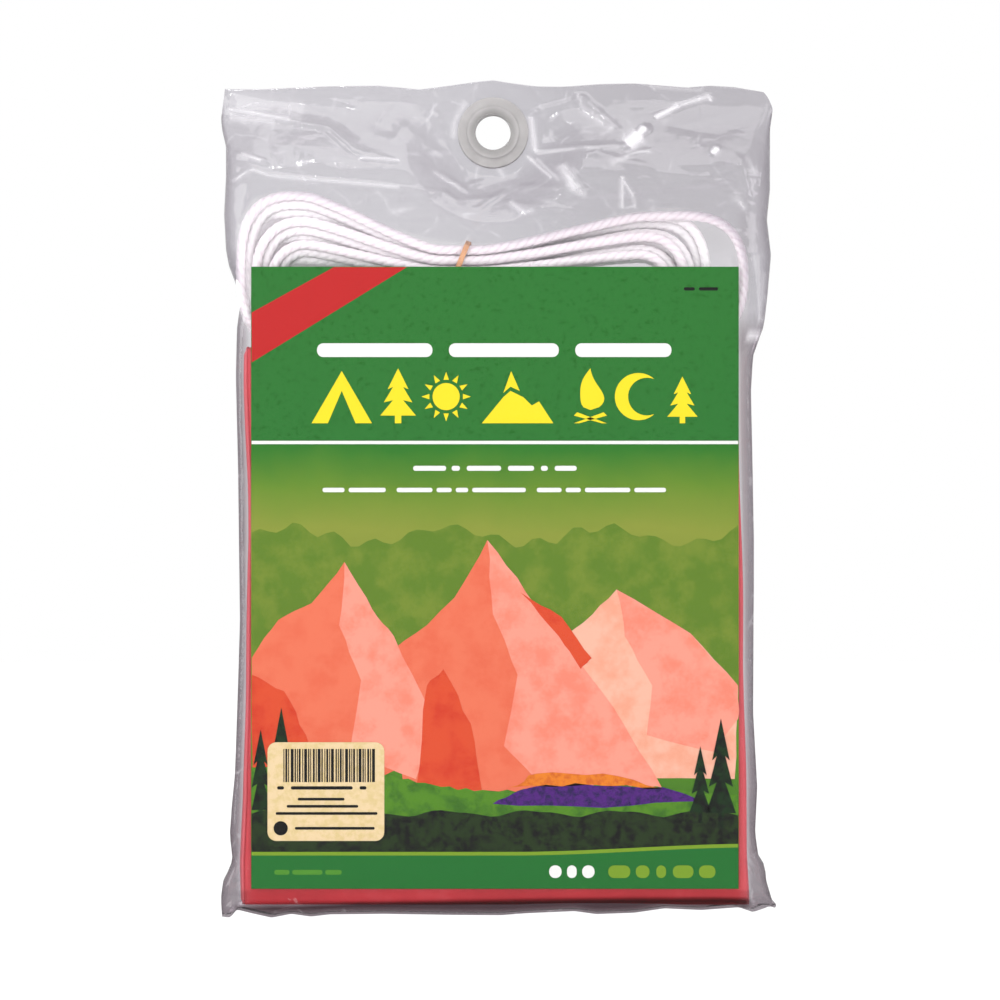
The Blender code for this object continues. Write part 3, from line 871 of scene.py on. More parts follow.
    def cord(self) -> bpy.types.Object:
        """Builds the laid cord along its route.

        The section is a circle whose radius dips between three strands: R (1 - g (1 - |cos 1.5 a|^0.8)). It
        turns once for each length of lay as it goes along the route, over a frame that keeps one side
        towards +Y.

        Returns:
            The cord's object.
        """
        middle = self.route()
        ahead = np.gradient(middle, axis=0)
        ahead /= np.linalg.norm(ahead, axis=1, keepdims=True)
        side = np.cross(ahead, (0.0, 1.0, 0.0))
        side /= np.linalg.norm(side, axis=1, keepdims=True)
        out = np.cross(side, ahead)
        gone = np.concatenate([[0.0], np.cumsum(np.linalg.norm(np.diff(middle, axis=0), axis=1))])
        around = np.linspace(0, 2 * np.pi, self.sides, endpoint=False)
        strand = np.abs(np.cos(1.5 * around))
        dip = self.groove_share * (1 - strand ** self.strand_flat)
        radius = (self.diameter / 2 + self.fibre_stand) * (1 - dip)
        angle = around[None, :] + 2 * np.pi * gone[:, None] / self.lay
        points = middle[:, None, :] + radius[None, :, None] * (
            np.cos(angle)[..., None] * side[:, None, :] + np.sin(angle)[..., None] * out[:, None, :]
        )
        numbers = np.arange(self.rings * self.sides).reshape(self.rings, self.sides)
        faces = grid_faces(np.pad(numbers, ((0, 0), (0, 1)), mode="wrap"))[:, ::-1]
        faces = [*faces, numbers[0][::-1], numbers[-1]]
        item = make_object("laid_guy_cord", points, faces, LaidCord().material())
        across = np.broadcast_to(around * self.diameter / 2, numbers.shape)
        along = np.broadcast_to(gone[:, None], numbers.shape)
        add_uv(item, np.stack([across.ravel(), along.ravel()], axis=1))
        # Painted shade: the grooves between the strands are drawn greyer than the crowns.
        add_share(item, "crown", np.broadcast_to(strand ** self.crown_flat, numbers.shape))
        # Painted light: the deeper a turn lies, the whiter it is drawn.
        behind = (middle[:, 1] + (self.layers - 1) / 2 * self.layer_step) / self.buried_depth
        add_share(item, "buried_light", np.broadcast_to(np.clip(behind, 0, 1)[:, None], numbers.shape))
        log.info("laid guy cord: %.3f m in %d turns", gone[-1], self.layers * self.layer_turns)
        return item

    def build(self) -> None:
        """Builds the hank, lets it ride on its body, and dresses its band."""
        cord = self.cord()
        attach(cord, "hank")
        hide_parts("guy_cord_hank")
        dress("hank_band", Plain("tan_rubber", "#cf9a72", "#b98560", 0.8, 0.55).material())


@dataclass
class FoldedTube:
    """The tent: a lay-flat tube of 1.83 m by 2.44 m, folded twelve times one way and ten times the other."""

    width: float = 0.183
    height: float = 0.203
    layers: int = 10
    layer: float = 0.0016
    air: float = 0.0004
    stagger: float = 0.0012
    foot: float = -0.282865
    offset: float = 0.0007
    flat_points: int = 22
    bend_points: int = 8
    rows: int = 100
    end_round: float = 0.0009
    ripple: float = 0.028
    swell: float = 0.02
    ragged: float = 0.0011
    ragged_reach: float = 0.02
    skin_reach: float = 0.0015
    fold_share: float = 0.75
    stagger_shares: tuple[float, ...] = (0.0, 0.6, 0.2, 1.0, 0.4)
    left_mm: Outline = (
        (-283, 92.4), (-268, 92.8), (-258, 92.2), (-245, 91.4), (-215, 90.8), (-193, 90.4), (-172, 89.9),
        (-150, 89.6), (-128, 89.9), (-106, 90.7), (-92, 91.2), (-80, 91.2),
    )
    right_mm: Outline = (
        (-283, 93.7), (-276, 93.6), (-264, 92.9), (-237, 92.4), (-215, 91.9), (-193, 91.5), (-172, 91.3),
        (-150, 90.8), (-128, 90.2), (-106, 89.6), (-80, 89.5),
    )

    def walk(self) -> tuple[np.ndarray, np.ndarray, np.ndarray]:
        """Follows the sheet to and fro through all its layers.

        Returns:
            The middle line as (x, y) rows, the unit vector to its left, and how much each place is a fold.
        """
        step = self.layer + self.air
        bend = self.width / 2 - step / 2 - self.layer / 2
        middles, lefts, folds = [], [], []
        start = self.width / 2
        for index in range(self.layers):
            way = -1.0 if index % 2 == 0 else 1.0
            depth = self.layer / 2 + index * step
            short = self.stagger * self.stagger_shares[index % len(self.stagger_shares)]
            last = index == self.layers - 1
            end = way * ((self.width / 2 if last else bend) - short)
            eased = (1 - np.cos(np.linspace(0, np.pi, self.flat_points))) / 2
            line = start + (end - start) * eased
            middles.append(np.stack([line, np.full_like(line, depth)], axis=1))
            lefts.append(np.tile([0.0, way], (len(line), 1)))
            folds.append(np.exp(-np.abs(np.abs(line) - self.width / 2) / self.skin_reach))
            if not last:
                angle = np.linspace(0, np.pi, self.bend_points + 2)[1:-1]
                radial = np.stack([way * np.sin(angle), -np.cos(angle)], axis=1)
                middles.append(np.array([end, depth + step / 2]) + radial * step / 2)
                lefts.append(-radial)
                folds.append(np.ones(len(angle)))
            start = end
        return np.concatenate(middles), np.concatenate(lefts), np.concatenate(folds)

    def bundle(self) -> bpy.types.Object:
        """Builds the folded sheet as one closed surface.

        The sheet's two sides run along its middle line at half a layer's distance. They close round the top
        and foot as half ellipses. The whole stack swells and thins by a few per cent in slow waves, and
        stretches sideways to a left and a right outline, all its layers alike so that none meets the next.
        Each layer's ends stand at slightly different heights.

        Returns:
            The bundle's object.
        """
        middle, left, fold = self.walk()
        count = len(middle)
        rise = np.linspace(0, 1, self.rows)[:, None]
        from_end = np.minimum(rise, 1 - rise) * self.height
        plump = np.sqrt(np.clip(1 - (1 - np.clip(from_end / self.end_round, 0, 1)) ** 2, 0.0, 1.0))
        half = self.layer / 2 * np.maximum(plump, 0.05)
        walked = np.arange(count)[None, :]
        uneven = self.ragged * np.sin(walked * 0.61) * np.sin(walked * 0.113 + 1.0)
        uneven = uneven * (2 * rise - 1) * ease(1 - from_end / self.ragged_reach)
        height = self.foot + rise * self.height + uneven
        height = np.clip(height, self.foot + 0.0002, self.foot + self.height + 0.0008)
        sides = []
        for sign in (1.0, -1.0):
            x = middle[None, :, 0] + sign * left[None, :, 0] * half
            y = middle[None, :, 1] + sign * left[None, :, 1] * half
            sides.append(np.stack(np.broadcast_arrays(x, y, height), axis=-1))
        points = np.concatenate([sides[0], sides[1][:, ::-1]], axis=1)
        x, y, z = points[..., 0], points[..., 1], points[..., 2]
        whole = self.layers * (self.layer + self.air) - self.air
        wave = np.sin(61 * x + 23 * z) * np.sin(47 * z - 31 * x + 0.8) + 0.6 * np.sin(143 * x - 90 * z)
        wave = wave + 0.35 * np.sin(260 * x + 310 * z + 2.0) * np.sin(190 * z)
        inset = 1 - self.swell * (1 + wave) / 2 - self.ripple * (0.5 + 0.5 * np.sin(35 * z + 2.2)) * 0.4
        y = (y - whole / 2) * inset
        x = x * (1 - 0.004 * (1 + np.sin(90 * z + 600 * y)) / 2)
        left = (through(self.left_mm, z / MM, 3.0) * MM + self.offset) / (self.width / 2)
        right = (through(self.right_mm, z / MM, 3.0) * MM - self.offset) / (self.width / 2)
        x = x * np.where(x < 0, left, right) + self.offset
        points = np.stack([x, y, z], axis=-1)
        numbers = np.arange(points.shape[0] * points.shape[1]).reshape(points.shape[:2])
        faces = list(grid_faces(np.pad(numbers, ((0, 0), (0, 1)), mode="wrap")))
        for row, turn in ((numbers[0], 1), (numbers[-1], -1)):
            one, other = row[:count], row[count:][::-1]
            faces += [quad[::turn] for quad in np.stack([one[:-1], one[1:], other[1:], other[:-1]], axis=1)]
        item = make_object("folded_tent_tube", points, faces, TentFilm().material())
        # The share of paler pink along the folds, partly light through the film and partly painted light.
        add_share(item, "fold", self.fold_share * np.tile(np.concatenate([fold, fold[::-1]]), self.rows))
        return item

    def build(self) -> None:
        """Builds the folded tube and lets it ride on the bag."""
        item = self.bundle()
        turn_out(item)
        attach(item, "bag")
        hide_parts("tent_tube")
        log.info("folded tent tube: %d layers", self.layers)


@dataclass(frozen=True)
class Stroke:
    """A straight line on the film, from one point to another in mm."""

    x0: float
    z0: float
    x1: float
    z1: float

    def beside(self, x: np.ndarray, z: np.ndarray) -> tuple[np.ndarray, np.ndarray, float]:
        """Measures places against the line.

        Args:
            x: Places across the bag in mm.
            z: Heights in mm.

        Returns:
            How far along the line each place is, how far off to its left, and the line's length.
        """
        run = np.array((self.x1 - self.x0, self.z1 - self.z0))
        length = float(np.hypot(*run))
        run = run / length
        along = (x - self.x0) * run[0] + (z - self.z0) * run[1]
        return along, (x - self.x0) * -run[1] + (z - self.z0) * run[0], length


@dataclass(frozen=True)
class Crease(Stroke):
    """A sharp fold in the film, with its rise and its width each side."""

    rise: float
    above: float
    below: float

    def height(self, x: np.ndarray, z: np.ndarray) -> np.ndarray:
        """How far the film stands out at a place: a roof whose ridge is the crease and fades at its ends.

        Args:
            x: Places across the bag in mm.
            z: Heights in mm.

        Returns:
            The film's shift outwards in mm.
        """
        along, off, length = self.beside(x, z)
        along = along / length
        roof = np.clip(1 - np.abs(off) / np.where(off > 0, self.above, self.below), 0, None)
        reach = min(0.45, 4.0 / length)
        fade = ease((along + reach / 2) / reach) * ease((1 + reach / 2 - along) / reach)
        return self.rise * roof ** 1.15 * fade


@dataclass(frozen=True)
class HighlightStroke(Stroke):
    """A painted highlight: a white line for a crease that mirrors the lamps, with its half width and
    strength.
    """

    half: float
    strength: float

    def highlight_share(self, x: np.ndarray, z: np.ndarray) -> np.ndarray:
        """The painted highlight at each place: a bell across the line, faded over its last millimetre.

        Args:
            x: Places across the bag in mm.
            z: Heights in mm.

        Returns:
            The painted highlight, from 0 to 1.
        """
        along, off, length = self.beside(x, z)
        fade = ease(along + 0.5) * ease(length - along + 0.5)
        return self.strength * np.exp(-(off / self.half) ** 2) * fade


@dataclass
class HangBag:
    """The clear bag: two panels of film welded all round, with its header crumpled round the eyelet.

    Its sizes are in mm. The folds are rows of numbers for the painted highlight strokes, the creases for
    Crease.
    """

    left_mm: Outline = (
        (-289, -99.7), (-281, -100.1), (-275, -99.3), (-271, -97.2), (-267, -95.7), (-257, -96.8),
        (-246, -96.0), (-235, -94.9), (-202, -93.8), (-179, -93.1), (-124, -93.8), (-90, -94.6),
        (-72, -94.2), (-66, -93.4), (-61.5, -92.7), (-58, -93.8), (-54, -95.3), (-49, -97.2), (-43, -98.3),
        (-30, -99.0), (-16, -98.3), (-5, -98.3), (1, -99.7), (5, -100.1), (13, -99.1), (17, -98.6),
    )
    right_mm: Outline = (
        (-289, 99.0), (-286.5, 102.0), (-284.3, 104.9), (-282.5, 102.7), (-275, 100.5), (-269.6, 100.1),
        (-266, 97.6), (-257, 96.4), (-240, 97.2), (-213, 95.7), (-150, 96.0), (-113, 95.3), (-95, 94.9),
        (-82, 95.7), (-76, 97.9), (-71, 99.7), (-60, 101.0), (-45, 102.3), (-32, 100.8), (-21, 101.9),
        (1, 101.9), (9, 103.0), (13.4, 101.0), (15.8, 98.8), (17, 97.2),
    )
    top_mm: Outline = (
        (-100, 16.2), (-87, 16.0), (-62, 17.1), (-42, 17.4), (-27, 16.0), (-16, 17.4), (-6, 18.8), (0, 19.4),
        (6, 18.4), (16, 17.1), (26, 17.0), (40, 18.0), (52, 18.2), (72, 16.7), (82, 17.4), (92, 16.9),
        (104, 14.4),
    )
    bottom_mm: Outline = (
        (-101, -288.2), (-96, -288.8), (-93.5, -285.8), (-88, -287.2), (-81, -288.8), (-74, -287.4),
        (-67, -288.4), (-60, -287.6), (-40, -287.4), (-15, -287.8), (3, -287.9), (12, -287.2), (30, -286.4),
        (38, -287.5), (52, -287.0), (63, -285.4), (76, -286.0), (88, -285.0), (95, -286.8), (98.5, -284.6),
        (103, -285.6), (106, -284.6),
    )
    seam_mm: Outline = (
        (-100, -284.4), (-70, -283.6), (-48, -282.6), (-15, -282.0), (20, -281.4), (57, -281.0),
        (83, -280.8), (104, -281.6),
    )
    weld_top: float = 14.5
    header_fall: float = 32.07
    eyelet_land: float = 14.5
    header_taper: float = 21.4
    card_depth: float = 11.76
    tent_depth: float = 10.55
    card_foot: float = -276.66
    card_tuck: float = 3.2
    bottom_weld: float = 1.6
    bottom_bend: float = 5.0
    tent_top: float = -79.86
    tent_box: tuple[float, ...] = (-91.6, 93.0, -284.5, -79.86)
    card_box: tuple[float, ...] = (-88.8, 90.2, -284.5, -49.2)
    header_foot: float = -40.0
    side_bend: float = 5.0
    header_bend: float = 14.0
    hole: float = 8.0
    hole_reach: float = 17.0
    film_apart: float = 0.15
    # Painted light: how much lighter the left of the header is drawn.
    left_header_light: float = 0.045
    # Painted shade: how much darker the right of the header is drawn.
    doubled_shade: float = 0.05
    pinch: float = 0.35
    low_pinch: float = 0.2
    back_rise: float = 0.7
    grid_left: float = -99.0
    grid_right: float = 101.0
    grid_heights: tuple[float, ...] = (17.5, 8.0, -8.0, -56.0, -272.0, -287.5)
    columns: tuple[int, int] = (100, 18)
    rows: tuple[int, ...] = (14, 22, 74, 67, 27)
    seed: int = 7
    hank_top_mm: Outline = (
        (-97, -60), (-93, -32), (-87, -24), (-77, -21.5), (-66, -23), (-52, -28), (-40, -34), (-26, -38),
        (-8, -41), (8, -40), (32, -34), (47, -29.5), (66, -27.5), (80, -31), (89, -38), (94, -60),
    )
    # Painted highlights where creases mirror the lamps: (x0, z0, x1, z1, half width, strength) rows.
    folds: tuple[tuple[float, ...], ...] = (
        (-14.6, -2.0, -14.0, 4.5, 1.2, 0.16), (-14.0, 4.5, -9.8, 11.6, 1.1, 0.16),
        (-97, 11.0, -70, 7.0, 4.1, 0.11), (-97, 8.3, -74, 4.6, 1.2, 0.22), (-97, 5.6, -80, 4.2, 1.7, 0.17),
        (-95, -19.0, -88, -14.8, 0.6, 0.17), (-88, -14.8, -81, -17.2, 0.6, 0.2),
        (-81, -17.2, -34, -21.3, 0.72, 0.17), (-92, -8.6, -84, -11.6, 0.84, 0.22),
        (-49, -10.3, -34, -11.3, 0.54, 0.22), (-22, -15.0, -12, -21.0, 0.72, 0.14),
        (6, -26.0, 11, -30.5, 1.1, 0.21), (11, -30.5, 15, -29.5, 0.72, 0.15),
        (13.8, 6.0, 15.6, -7.0, 1.1, 0.27), (12.5, -8.5, 21.5, -17.5, 0.6, 0.26),
        (16.0, -9.5, 24.0, -18.5, 0.6, 0.18), (24.8, -12.5, 30.0, -22.5, 1.8, 0.26),
        (30.0, -22.5, 34.0, -24.0, 1.2, 0.18), (15.0, -7.5, 49.0, -6.0, 0.48, 0.12),
        (31.0, 14.5, 33.0, 8.5, 0.48, 0.21), (33.0, 8.5, 44.0, 0.5, 1.6, 0.11),
        (49.0, -5.2, 53.5, -1.0, 2.4, 0.7), (53.5, -1.0, 55.5, 1.5, 1.1, 0.85),
        (59.5, 5.2, 68.5, 10.2, 0.9, 0.5), (68.5, 10.2, 80.0, 13.4, 0.84, 0.32),
        (80.0, 13.6, 80.2, 11.6, 0.5, 0.5), (48.5, -8.4, 57.5, -8.0, 0.6, 0.2),
        (43.0, -12.5, 49.5, -9.6, 0.96, 0.18), (80.0, -8.8, 82.0, -6.6, 1, 0.75),
        (46.8, -18.0, 46.8, -29.0, 0.6, 0.27), (46.8, -18.0, 51.0, -24.5, 0.54, 0.24),
        (51.0, -24.5, 51.6, -29.0, 0.54, 0.2), (88.0, -24.5, 92.0, -29.5, 1.1, 0.12),
        (92.5, -10.0, 95.5, -16.5, 0.72, 0.12), (99.0, -52.0, 97.0, -72.0, 0.96, 0.11),
        (92.5, -75.3, 98.5, -75.0, 0.6, 0.3), (2.0, -12.8, 4.0, -16.5, 0.96, 0.17),
        (58.0, 17.0, 77.0, 15.6, 0.6, 0.11),
    )
    creases: tuple[tuple[float, ...], ...] = (
        (-97, 8.5, -60, 1.0, 1.5, 7.0, 1.6), (-60, 1.0, -51, -7.5, 1.2, 5.0, 1.8),
        (-51, -7.5, -36, -11.0, 0.8, 3.0, 2.0), (-46, 3.5, -36, 0.5, -0.9, 3.0, 3.5),
        (-49, -10.2, -34, -11.3, 0.5, 1.2, 1.6), (-95, -8.0, -82, -11.8, 0.8, 1.3, 2.2),
        (-95, -19.5, -88, -14.8, 0.8, 2.0, 2.4), (-88, -14.8, -81, -17.0, 0.8, 2.0, 2.4),
        (-81, -17.0, -34, -21.5, 0.9, 1.8, 3.2), (-34, -21.5, -18, -22.5, 0.7, 1.6, 2.6),
        (-18, -22.5, -13, -26.0, 0.7, 1.4, 2.0), (-13, -26.0, 2, -24.0, 0.7, 1.8, 2.4),
        (-64, 13.0, -50, 10.0, 0.5, 2.5, 3.0), (-24, 10.0, -16, -2.5, 0.4, 2.2, 2.6),
        (-33, 2.0, -14, -11.5, 0.5, 2.4, 3.4), (-20, -15.0, -9, -22.0, 0.7, 1.5, 2.0),
        (-9, -20.0, 2, -14.5, 0.9, 1.6, 2.4), (-6, -29.0, 4, -22.0, 0.8, 1.6, 1.8),
        (13.5, 6.0, 16.5, -7.0, 0.8, 1.6, 1.5), (13.5, -7.5, 23.5, -17.0, 0.9, 1.3, 1.5),
        (26.0, -12.0, 34.5, -23.5, 1.2, 1.6, 2.4), (15.0, -6.5, 47.0, -5.5, 0.8, 1.8, 1.4),
        (14.0, 7.0, 34.0, 13.0, 0.9, 2.0, 1.6), (31.0, 14.0, 46.0, 1.0, 1.1, 2.6, 3.4),
        (47.5, -6.5, 57.0, 2.0, 1.6, 2.2, 2.6), (59.5, 6.0, 79.5, 13.8, 1.2, 1.4, 1.6),
        (63.5, 2.5, 82.0, -1.2, -1.1, 2.4, 2.6), (82.0, -1.2, 98.0, 4.8, -1.1, 2.4, 2.6),
        (48.0, -9.5, 58.0, -7.0, 0.8, 1.2, 1.4), (79.0, -9.5, 82.0, -6.0, 1.0, 1.4, 1.6),
        (47.3, -18.0, 47.3, -29.0, 0.8, 1.0, 1.0), (47.3, -18.0, 52.0, -25.0, 0.7, 1.0, 1.0),
        (36.0, -8.0, 58.0, -14.0, 0.6, 2.6, 3.0), (90.0, -10.0, 93.0, -24.0, 0.8, 1.8, 2.2),
        (98.5, -14.0, 97.0, -22.0, 0.9, 1.4, 1.6), (88.0, -24.0, 96.0, -29.0, 0.7, 1.4, 1.8),
        (92.0, -44.0, 99.0, -72.0, 0.8, 2.2, 2.6), (93.5, -75.0, 99.5, -74.0, 0.9, 1.0, 1.2),
        (60.0, -16.0, 88.0, -20.0, 0.6, 2.8, 3.4), (5.0, -27.0, 30.0, -30.0, 0.7, 2.4, 2.8),
        (10.0, -20.0, 40.0, -22.5, 0.5, 2.0, 2.4),
    )

    def half_share(self, across: np.ndarray, left: np.ndarray, right: np.ndarray,
                   z: np.ndarray) -> np.ndarray:
        """The share of full depth beside the edges: a superellipse bend at each side.

        Args:
            across: Places across the bag.
            left: The left edge at each place.
            right: The right edge.
            z: Heights.

        Returns:
            1 over the flat, falling to 0 at the edges.
        """
        loose = ease((z - self.tent_top) / (self.header_foot - self.tent_top))
        bend = self.side_bend + (self.header_bend - self.side_bend) * loose
        power = 4.0 - 1.5 * loose
        from_edge = np.minimum(across - left, right - across)
        bent = np.clip(1 - from_edge / bend, 0, 1)
        return np.clip(1 - bent ** power, 0, 1) ** (1 / power)

    def depth(self, x: np.ndarray, z: np.ndarray, front: bool) -> np.ndarray:
        """How far a panel's flat stands from the plane of the welds, before its edges bend.

        Args:
            x: Places across the bag.
            z: Heights.
            front: Whether this is the front panel, which lies over the card.

        Returns:
            The depth at each place.
        """
        deep = np.full_like(x, self.tent_depth)
        if front:
            deep += (self.card_depth - self.tent_depth) * (1 - ease((self.card_foot - z) / self.card_tuck))
        weld = through(self.bottom_mm, x, 1.5) + self.bottom_weld
        fallen = np.clip((weld + self.bottom_bend - z) / self.bottom_bend, 0, 1)
        foot = np.clip(1 - fallen ** 4, 0, 1) ** 0.25
        below_weld = ease((self.weld_top - z) / self.header_fall)
        from_eyelet = ease((np.hypot(x, z) - self.eyelet_land) / self.header_taper)
        return deep * foot * below_weld * from_eyelet

    def scatter(self, draw: np.random.Generator, count: int, bounds: tuple[float, float, float, float],
                lean: float, length: tuple[float, float], rise: tuple[float, float],
                width: tuple[float, float]) -> list[Crease]:
        """Draws small creases at random places.

        Args:
            draw: The source of the draws.
            count: How many to draw.
            bounds: The left, right, lower and upper bounds of their starts.
            lean: How far they turn from level, as a standard deviation in radians.
            length: The bounds of their lengths.
            rise: The bounds of their rises.
            width: The bounds of their widths each side.

        Returns:
            The creases.
        """
        creases = []
        for _ in range(count):
            x0, z0 = draw.uniform(*bounds[:2]), draw.uniform(*bounds[2:])
            angle, run = draw.normal(0.0, lean), draw.uniform(*length)
            creases.append(Crease(x0, z0, x0 + run * math.cos(angle), z0 + run * math.sin(angle),
                                  draw.uniform(*rise), draw.uniform(*width), draw.uniform(*width)))
        return creases

    def crumple(self, x: np.ndarray, z: np.ndarray, front: bool) -> np.ndarray:
        """The film's unevenness: named creases, small seeded ones and slow swells.

        The header has named and level small creases, the sides have upright ones and the foot has short ones.

        Args:
            x: Places across the bag.
            z: Heights.
            front: Whether this is the front panel. The back one has the named creases mirrored and lower.

        Returns:
            The shift outwards at each place.
        """
        draw = np.random.default_rng(self.seed if front else self.seed + 1)
        side = 1.0 if front else -1.0
        total = np.zeros_like(x)
        for row in self.creases:
            total += Crease(*row).height(side * x, z) * (1.0 if front else self.back_rise)
        header = ease((z + 52) / 12)
        busy = 0.45 + 0.55 * ease((side * x + 10) / 40)
        for small in self.scatter(draw, 150, (-98, 100, -48, 16), 0.7, (4, 16), (-0.35, 0.5), (1.0, 3.0)):
            total += small.height(x, z) * busy
        total *= header
        for _ in range(90):
            x0, z0 = draw.choice([-94.0, 94.0]) + draw.normal(0, 1.5), draw.uniform(-280, -60)
            length = draw.uniform(5, 22)
            small = Crease(x0, z0, x0 + draw.normal(0, 1.5), z0 + length, draw.uniform(-0.3, 0.5),
                           draw.uniform(0.8, 2.2), draw.uniform(0.8, 2.2))
            total += small.height(x, z)
        for small in self.scatter(draw, 60, (-98, 98, -288, -276), 0.9, (3, 14), (-0.2, 0.8), (0.8, 2.0)):
            total += small.height(x, z) * ease((-272 - z) / 6)
        swell = 0.5 * np.sin(0.083 * x + 0.9) * np.sin(0.21 * z + 0.05 * x) * header
        flat = 0.10 * np.sin(0.045 * x + 0.03 * z) * np.sin(0.05 * z + 1.0)
        return total + swell + flat

    def grid(self) -> tuple[np.ndarray, np.ndarray, np.ndarray, np.ndarray]:
        """Lays out one panel's points.

        The grid is straight in the middle. Towards each edge its lines bend to the bag's outline, and
        round the eyelet its squares turn into circles: the radius is r (1 - w) + q w, where q is the
        greater of |x| and |z| and w falls from 1 at the hole to 0 further out.

        Returns:
            Each point's x and z, and the bag's left and right edge at its height.
        """
        sides, middle = self.columns
        x = np.concatenate([
            np.linspace(self.grid_left, -self.hole, sides + 1),
            np.linspace(-self.hole, self.hole, middle + 1)[1:-1],
            np.linspace(self.hole, self.grid_right, sides + 1),
        ])
        heights = [self.grid_heights[:1]]
        for start, end, steps in zip(self.grid_heights, self.grid_heights[1:], self.rows):
            heights.append(np.linspace(start, end, steps + 1)[1:])
        x, z = np.meshgrid(x, np.concatenate(heights))
        straight = z.copy()
        top, foot = self.grid_heights[0], self.grid_heights[-1]
        z = z + (through(self.top_mm, x, 1.2) - top) * ease((straight - self.hole) / 8)
        z = z + (through(self.bottom_mm, x, 0.6) - foot) * ease((-276 - straight) / 9)
        left, right = through(self.left_mm, z, 0.9), through(self.right_mm, z, 0.9)
        to_left, to_right = ease((-60 - x) / 36), ease((x - 60) / 38)
        x = x + (left - self.grid_left) * to_left + (right - self.grid_right) * to_right
        square = np.maximum(np.abs(x), np.abs(z))
        round_radius = np.hypot(x, z)
        blend = 1 - ease((square - self.hole) / (self.hole_reach - self.hole))
        scale = ((1 - blend) * round_radius + blend * square) / np.maximum(round_radius, 1e-6)
        return x * scale, z * scale, left, right

    def gathered_shade(self, x: np.ndarray, z: np.ndarray) -> np.ndarray:
        """How much darker the film is drawn: partly where it lies bunched, partly as painted shade.

        Along and below the foot's weld it is dark: the film lies folded there, and painted shadow falls under
        the tent. It is less dark at the corners and at the very edge, with a little painted shade under the
        card's foot. Beside the tent, where the film turns round its folds, it is painted shade, pinkish as a
        painted reflection of the red tent, and there is faint painted shade over the right of the header.

        Args:
            x: Places across the bag.
            z: Heights.

        Returns:
            The share of the darker, pinkish colour at each place.
        """
        # Along the foot: film folded in layers, painted shadow under the tent and painted shade under the
        # card.
        bottom, seam = through(self.bottom_mm, x, 0.6), through(self.seam_mm, x, 4.0)
        foot = np.maximum(0.95 * np.exp(-((z - seam + 0.3) / 1.5) ** 2), 0.85 * ease((seam - z) / 1.0 + 0.5))
        foot *= 0.55 + 0.45 * ease((z - bottom) / 4.0)
        foot = np.maximum(foot * (1 - 0.65 * ease((np.abs(x) - 92) / 3)), 0.2 * ease(self.card_foot - z))
        # Beside the tent: painted shade, pinkish as a painted reflection of the red tent.
        low = ease((-200.0 - z) / 60.0)
        tent_left, tent_right = through(FoldedTube.left_mm, z, 3.0), through(FoldedTube.right_mm, z, 3.0)
        beyond = np.where(x > 0, x - tent_right, -x - tent_left)
        side = (0.32 + 0.08 * low) * ease((beyond + 0.3) / 1.2) * ease((-62.0 - z) / 15.0)
        fall = np.where(x > 0, 0.35 - 0.20 * low, 0.75 - 0.60 * low)
        side *= 1 - fall * ease((np.abs(x) - 92.5) / 2.5)
        # Over the right of the header and at its right edge: painted shade.
        doubled = self.doubled_shade * ease((x - 5) / 50) * ease((z + 50) / 12)
        corner = 0.06 * ease((x - 88) / 4) * ease((97 - x) / 4)
        doubled += corner * ease((z + 75) / 10) * ease((-20 - z) / 15)
        return np.maximum(np.maximum(foot, side), doubled)

    def sheet(self, front: bool) -> tuple[np.ndarray, dict[str, np.ndarray]]:
        """Works out one panel's points: its depth times the bend at its sides, plus its unevenness.

        Dips of the film count for less than rises, most of all below the header, where the film lies on
        what it holds. The two panels never come closer than a small gap, which closes at the welds.

        Args:
            front: Whether this is the front panel.

        Returns:
            The points as (rows, columns, 3) in metres, and the numbers at each that its material reads.
        """
        x, z, left, right = self.grid()
        edges = self.half_share(x, left, right, z)
        rim = ease((np.hypot(x, z) - self.eyelet_land) / 6)
        from_top = ease((through(self.top_mm, x, 1.2) - z) / 4)
        uneven = self.crumple(x, z, front) * rim * from_top * ease(edges * 3)
        pinch = self.pinch * (1 - (1 - self.low_pinch) * ease((-28 - z) / 8))
        deep = self.depth(x, z, front) * edges + np.where(uneven > 0, uneven, pinch * uneven)
        apart = self.film_apart * np.minimum(1, np.minimum(x - left, right - x) / 1.5)
        deep = np.maximum(deep, np.maximum(apart, 0.02))
        deep = np.where(np.hypot(x, z) < self.eyelet_land, self.film_apart, deep)
        way = -1.0 if front else 1.0
        shares = {
            "gathers_and_shade": self.gathered_shade(x, z), "tight": self.tight_share(x, z, front),
            "painted_highlight": self.painted_highlights(x, z, front),
        }
        return np.stack([x, way * deep, z], axis=-1) * MM, shares

    def tight_share(self, x: np.ndarray, z: np.ndarray, front: bool) -> np.ndarray:
        """How tightly the film lies on what it holds. The back panel lies on the tent alone.

        Args:
            x: Places across the bag.
            z: Heights.
            front: Whether this is the front panel.

        Returns:
            The tightness, from 0 to 1.
        """
        card, tent = (
            ease(np.minimum(np.minimum(x - left, right - x), np.minimum(z - foot, top - z)) / 1.6 + 0.5)
            for left, right, foot, top in (self.card_box, self.tent_box)
        )
        if not front:
            return 0.7 * tent
        hank = np.minimum(through(self.hank_top_mm, x, 2.0) - z, 94.0 - np.abs(x))
        over_hank = ease(hank / 3.0) * ease((z + 96.0) / 8.0)
        return np.maximum(np.maximum(card, 0.85 * tent), 0.9 * over_hank)

    def painted_highlights(self, x: np.ndarray, z: np.ndarray, front: bool) -> np.ndarray:
        """The painted highlights: white lines where creases mirror the lamps, and painted light on the left
        header.

        Args:
            x: Places across the bag.
            z: Heights.
            front: Whether this is the front panel. The back one has no painted highlights.

        Returns:
            The painted highlight, from 0 to 1.
        """
        total = np.zeros_like(x)
        for row in self.folds if front else ():
            total = np.maximum(total, HighlightStroke(*row).highlight_share(x, z))
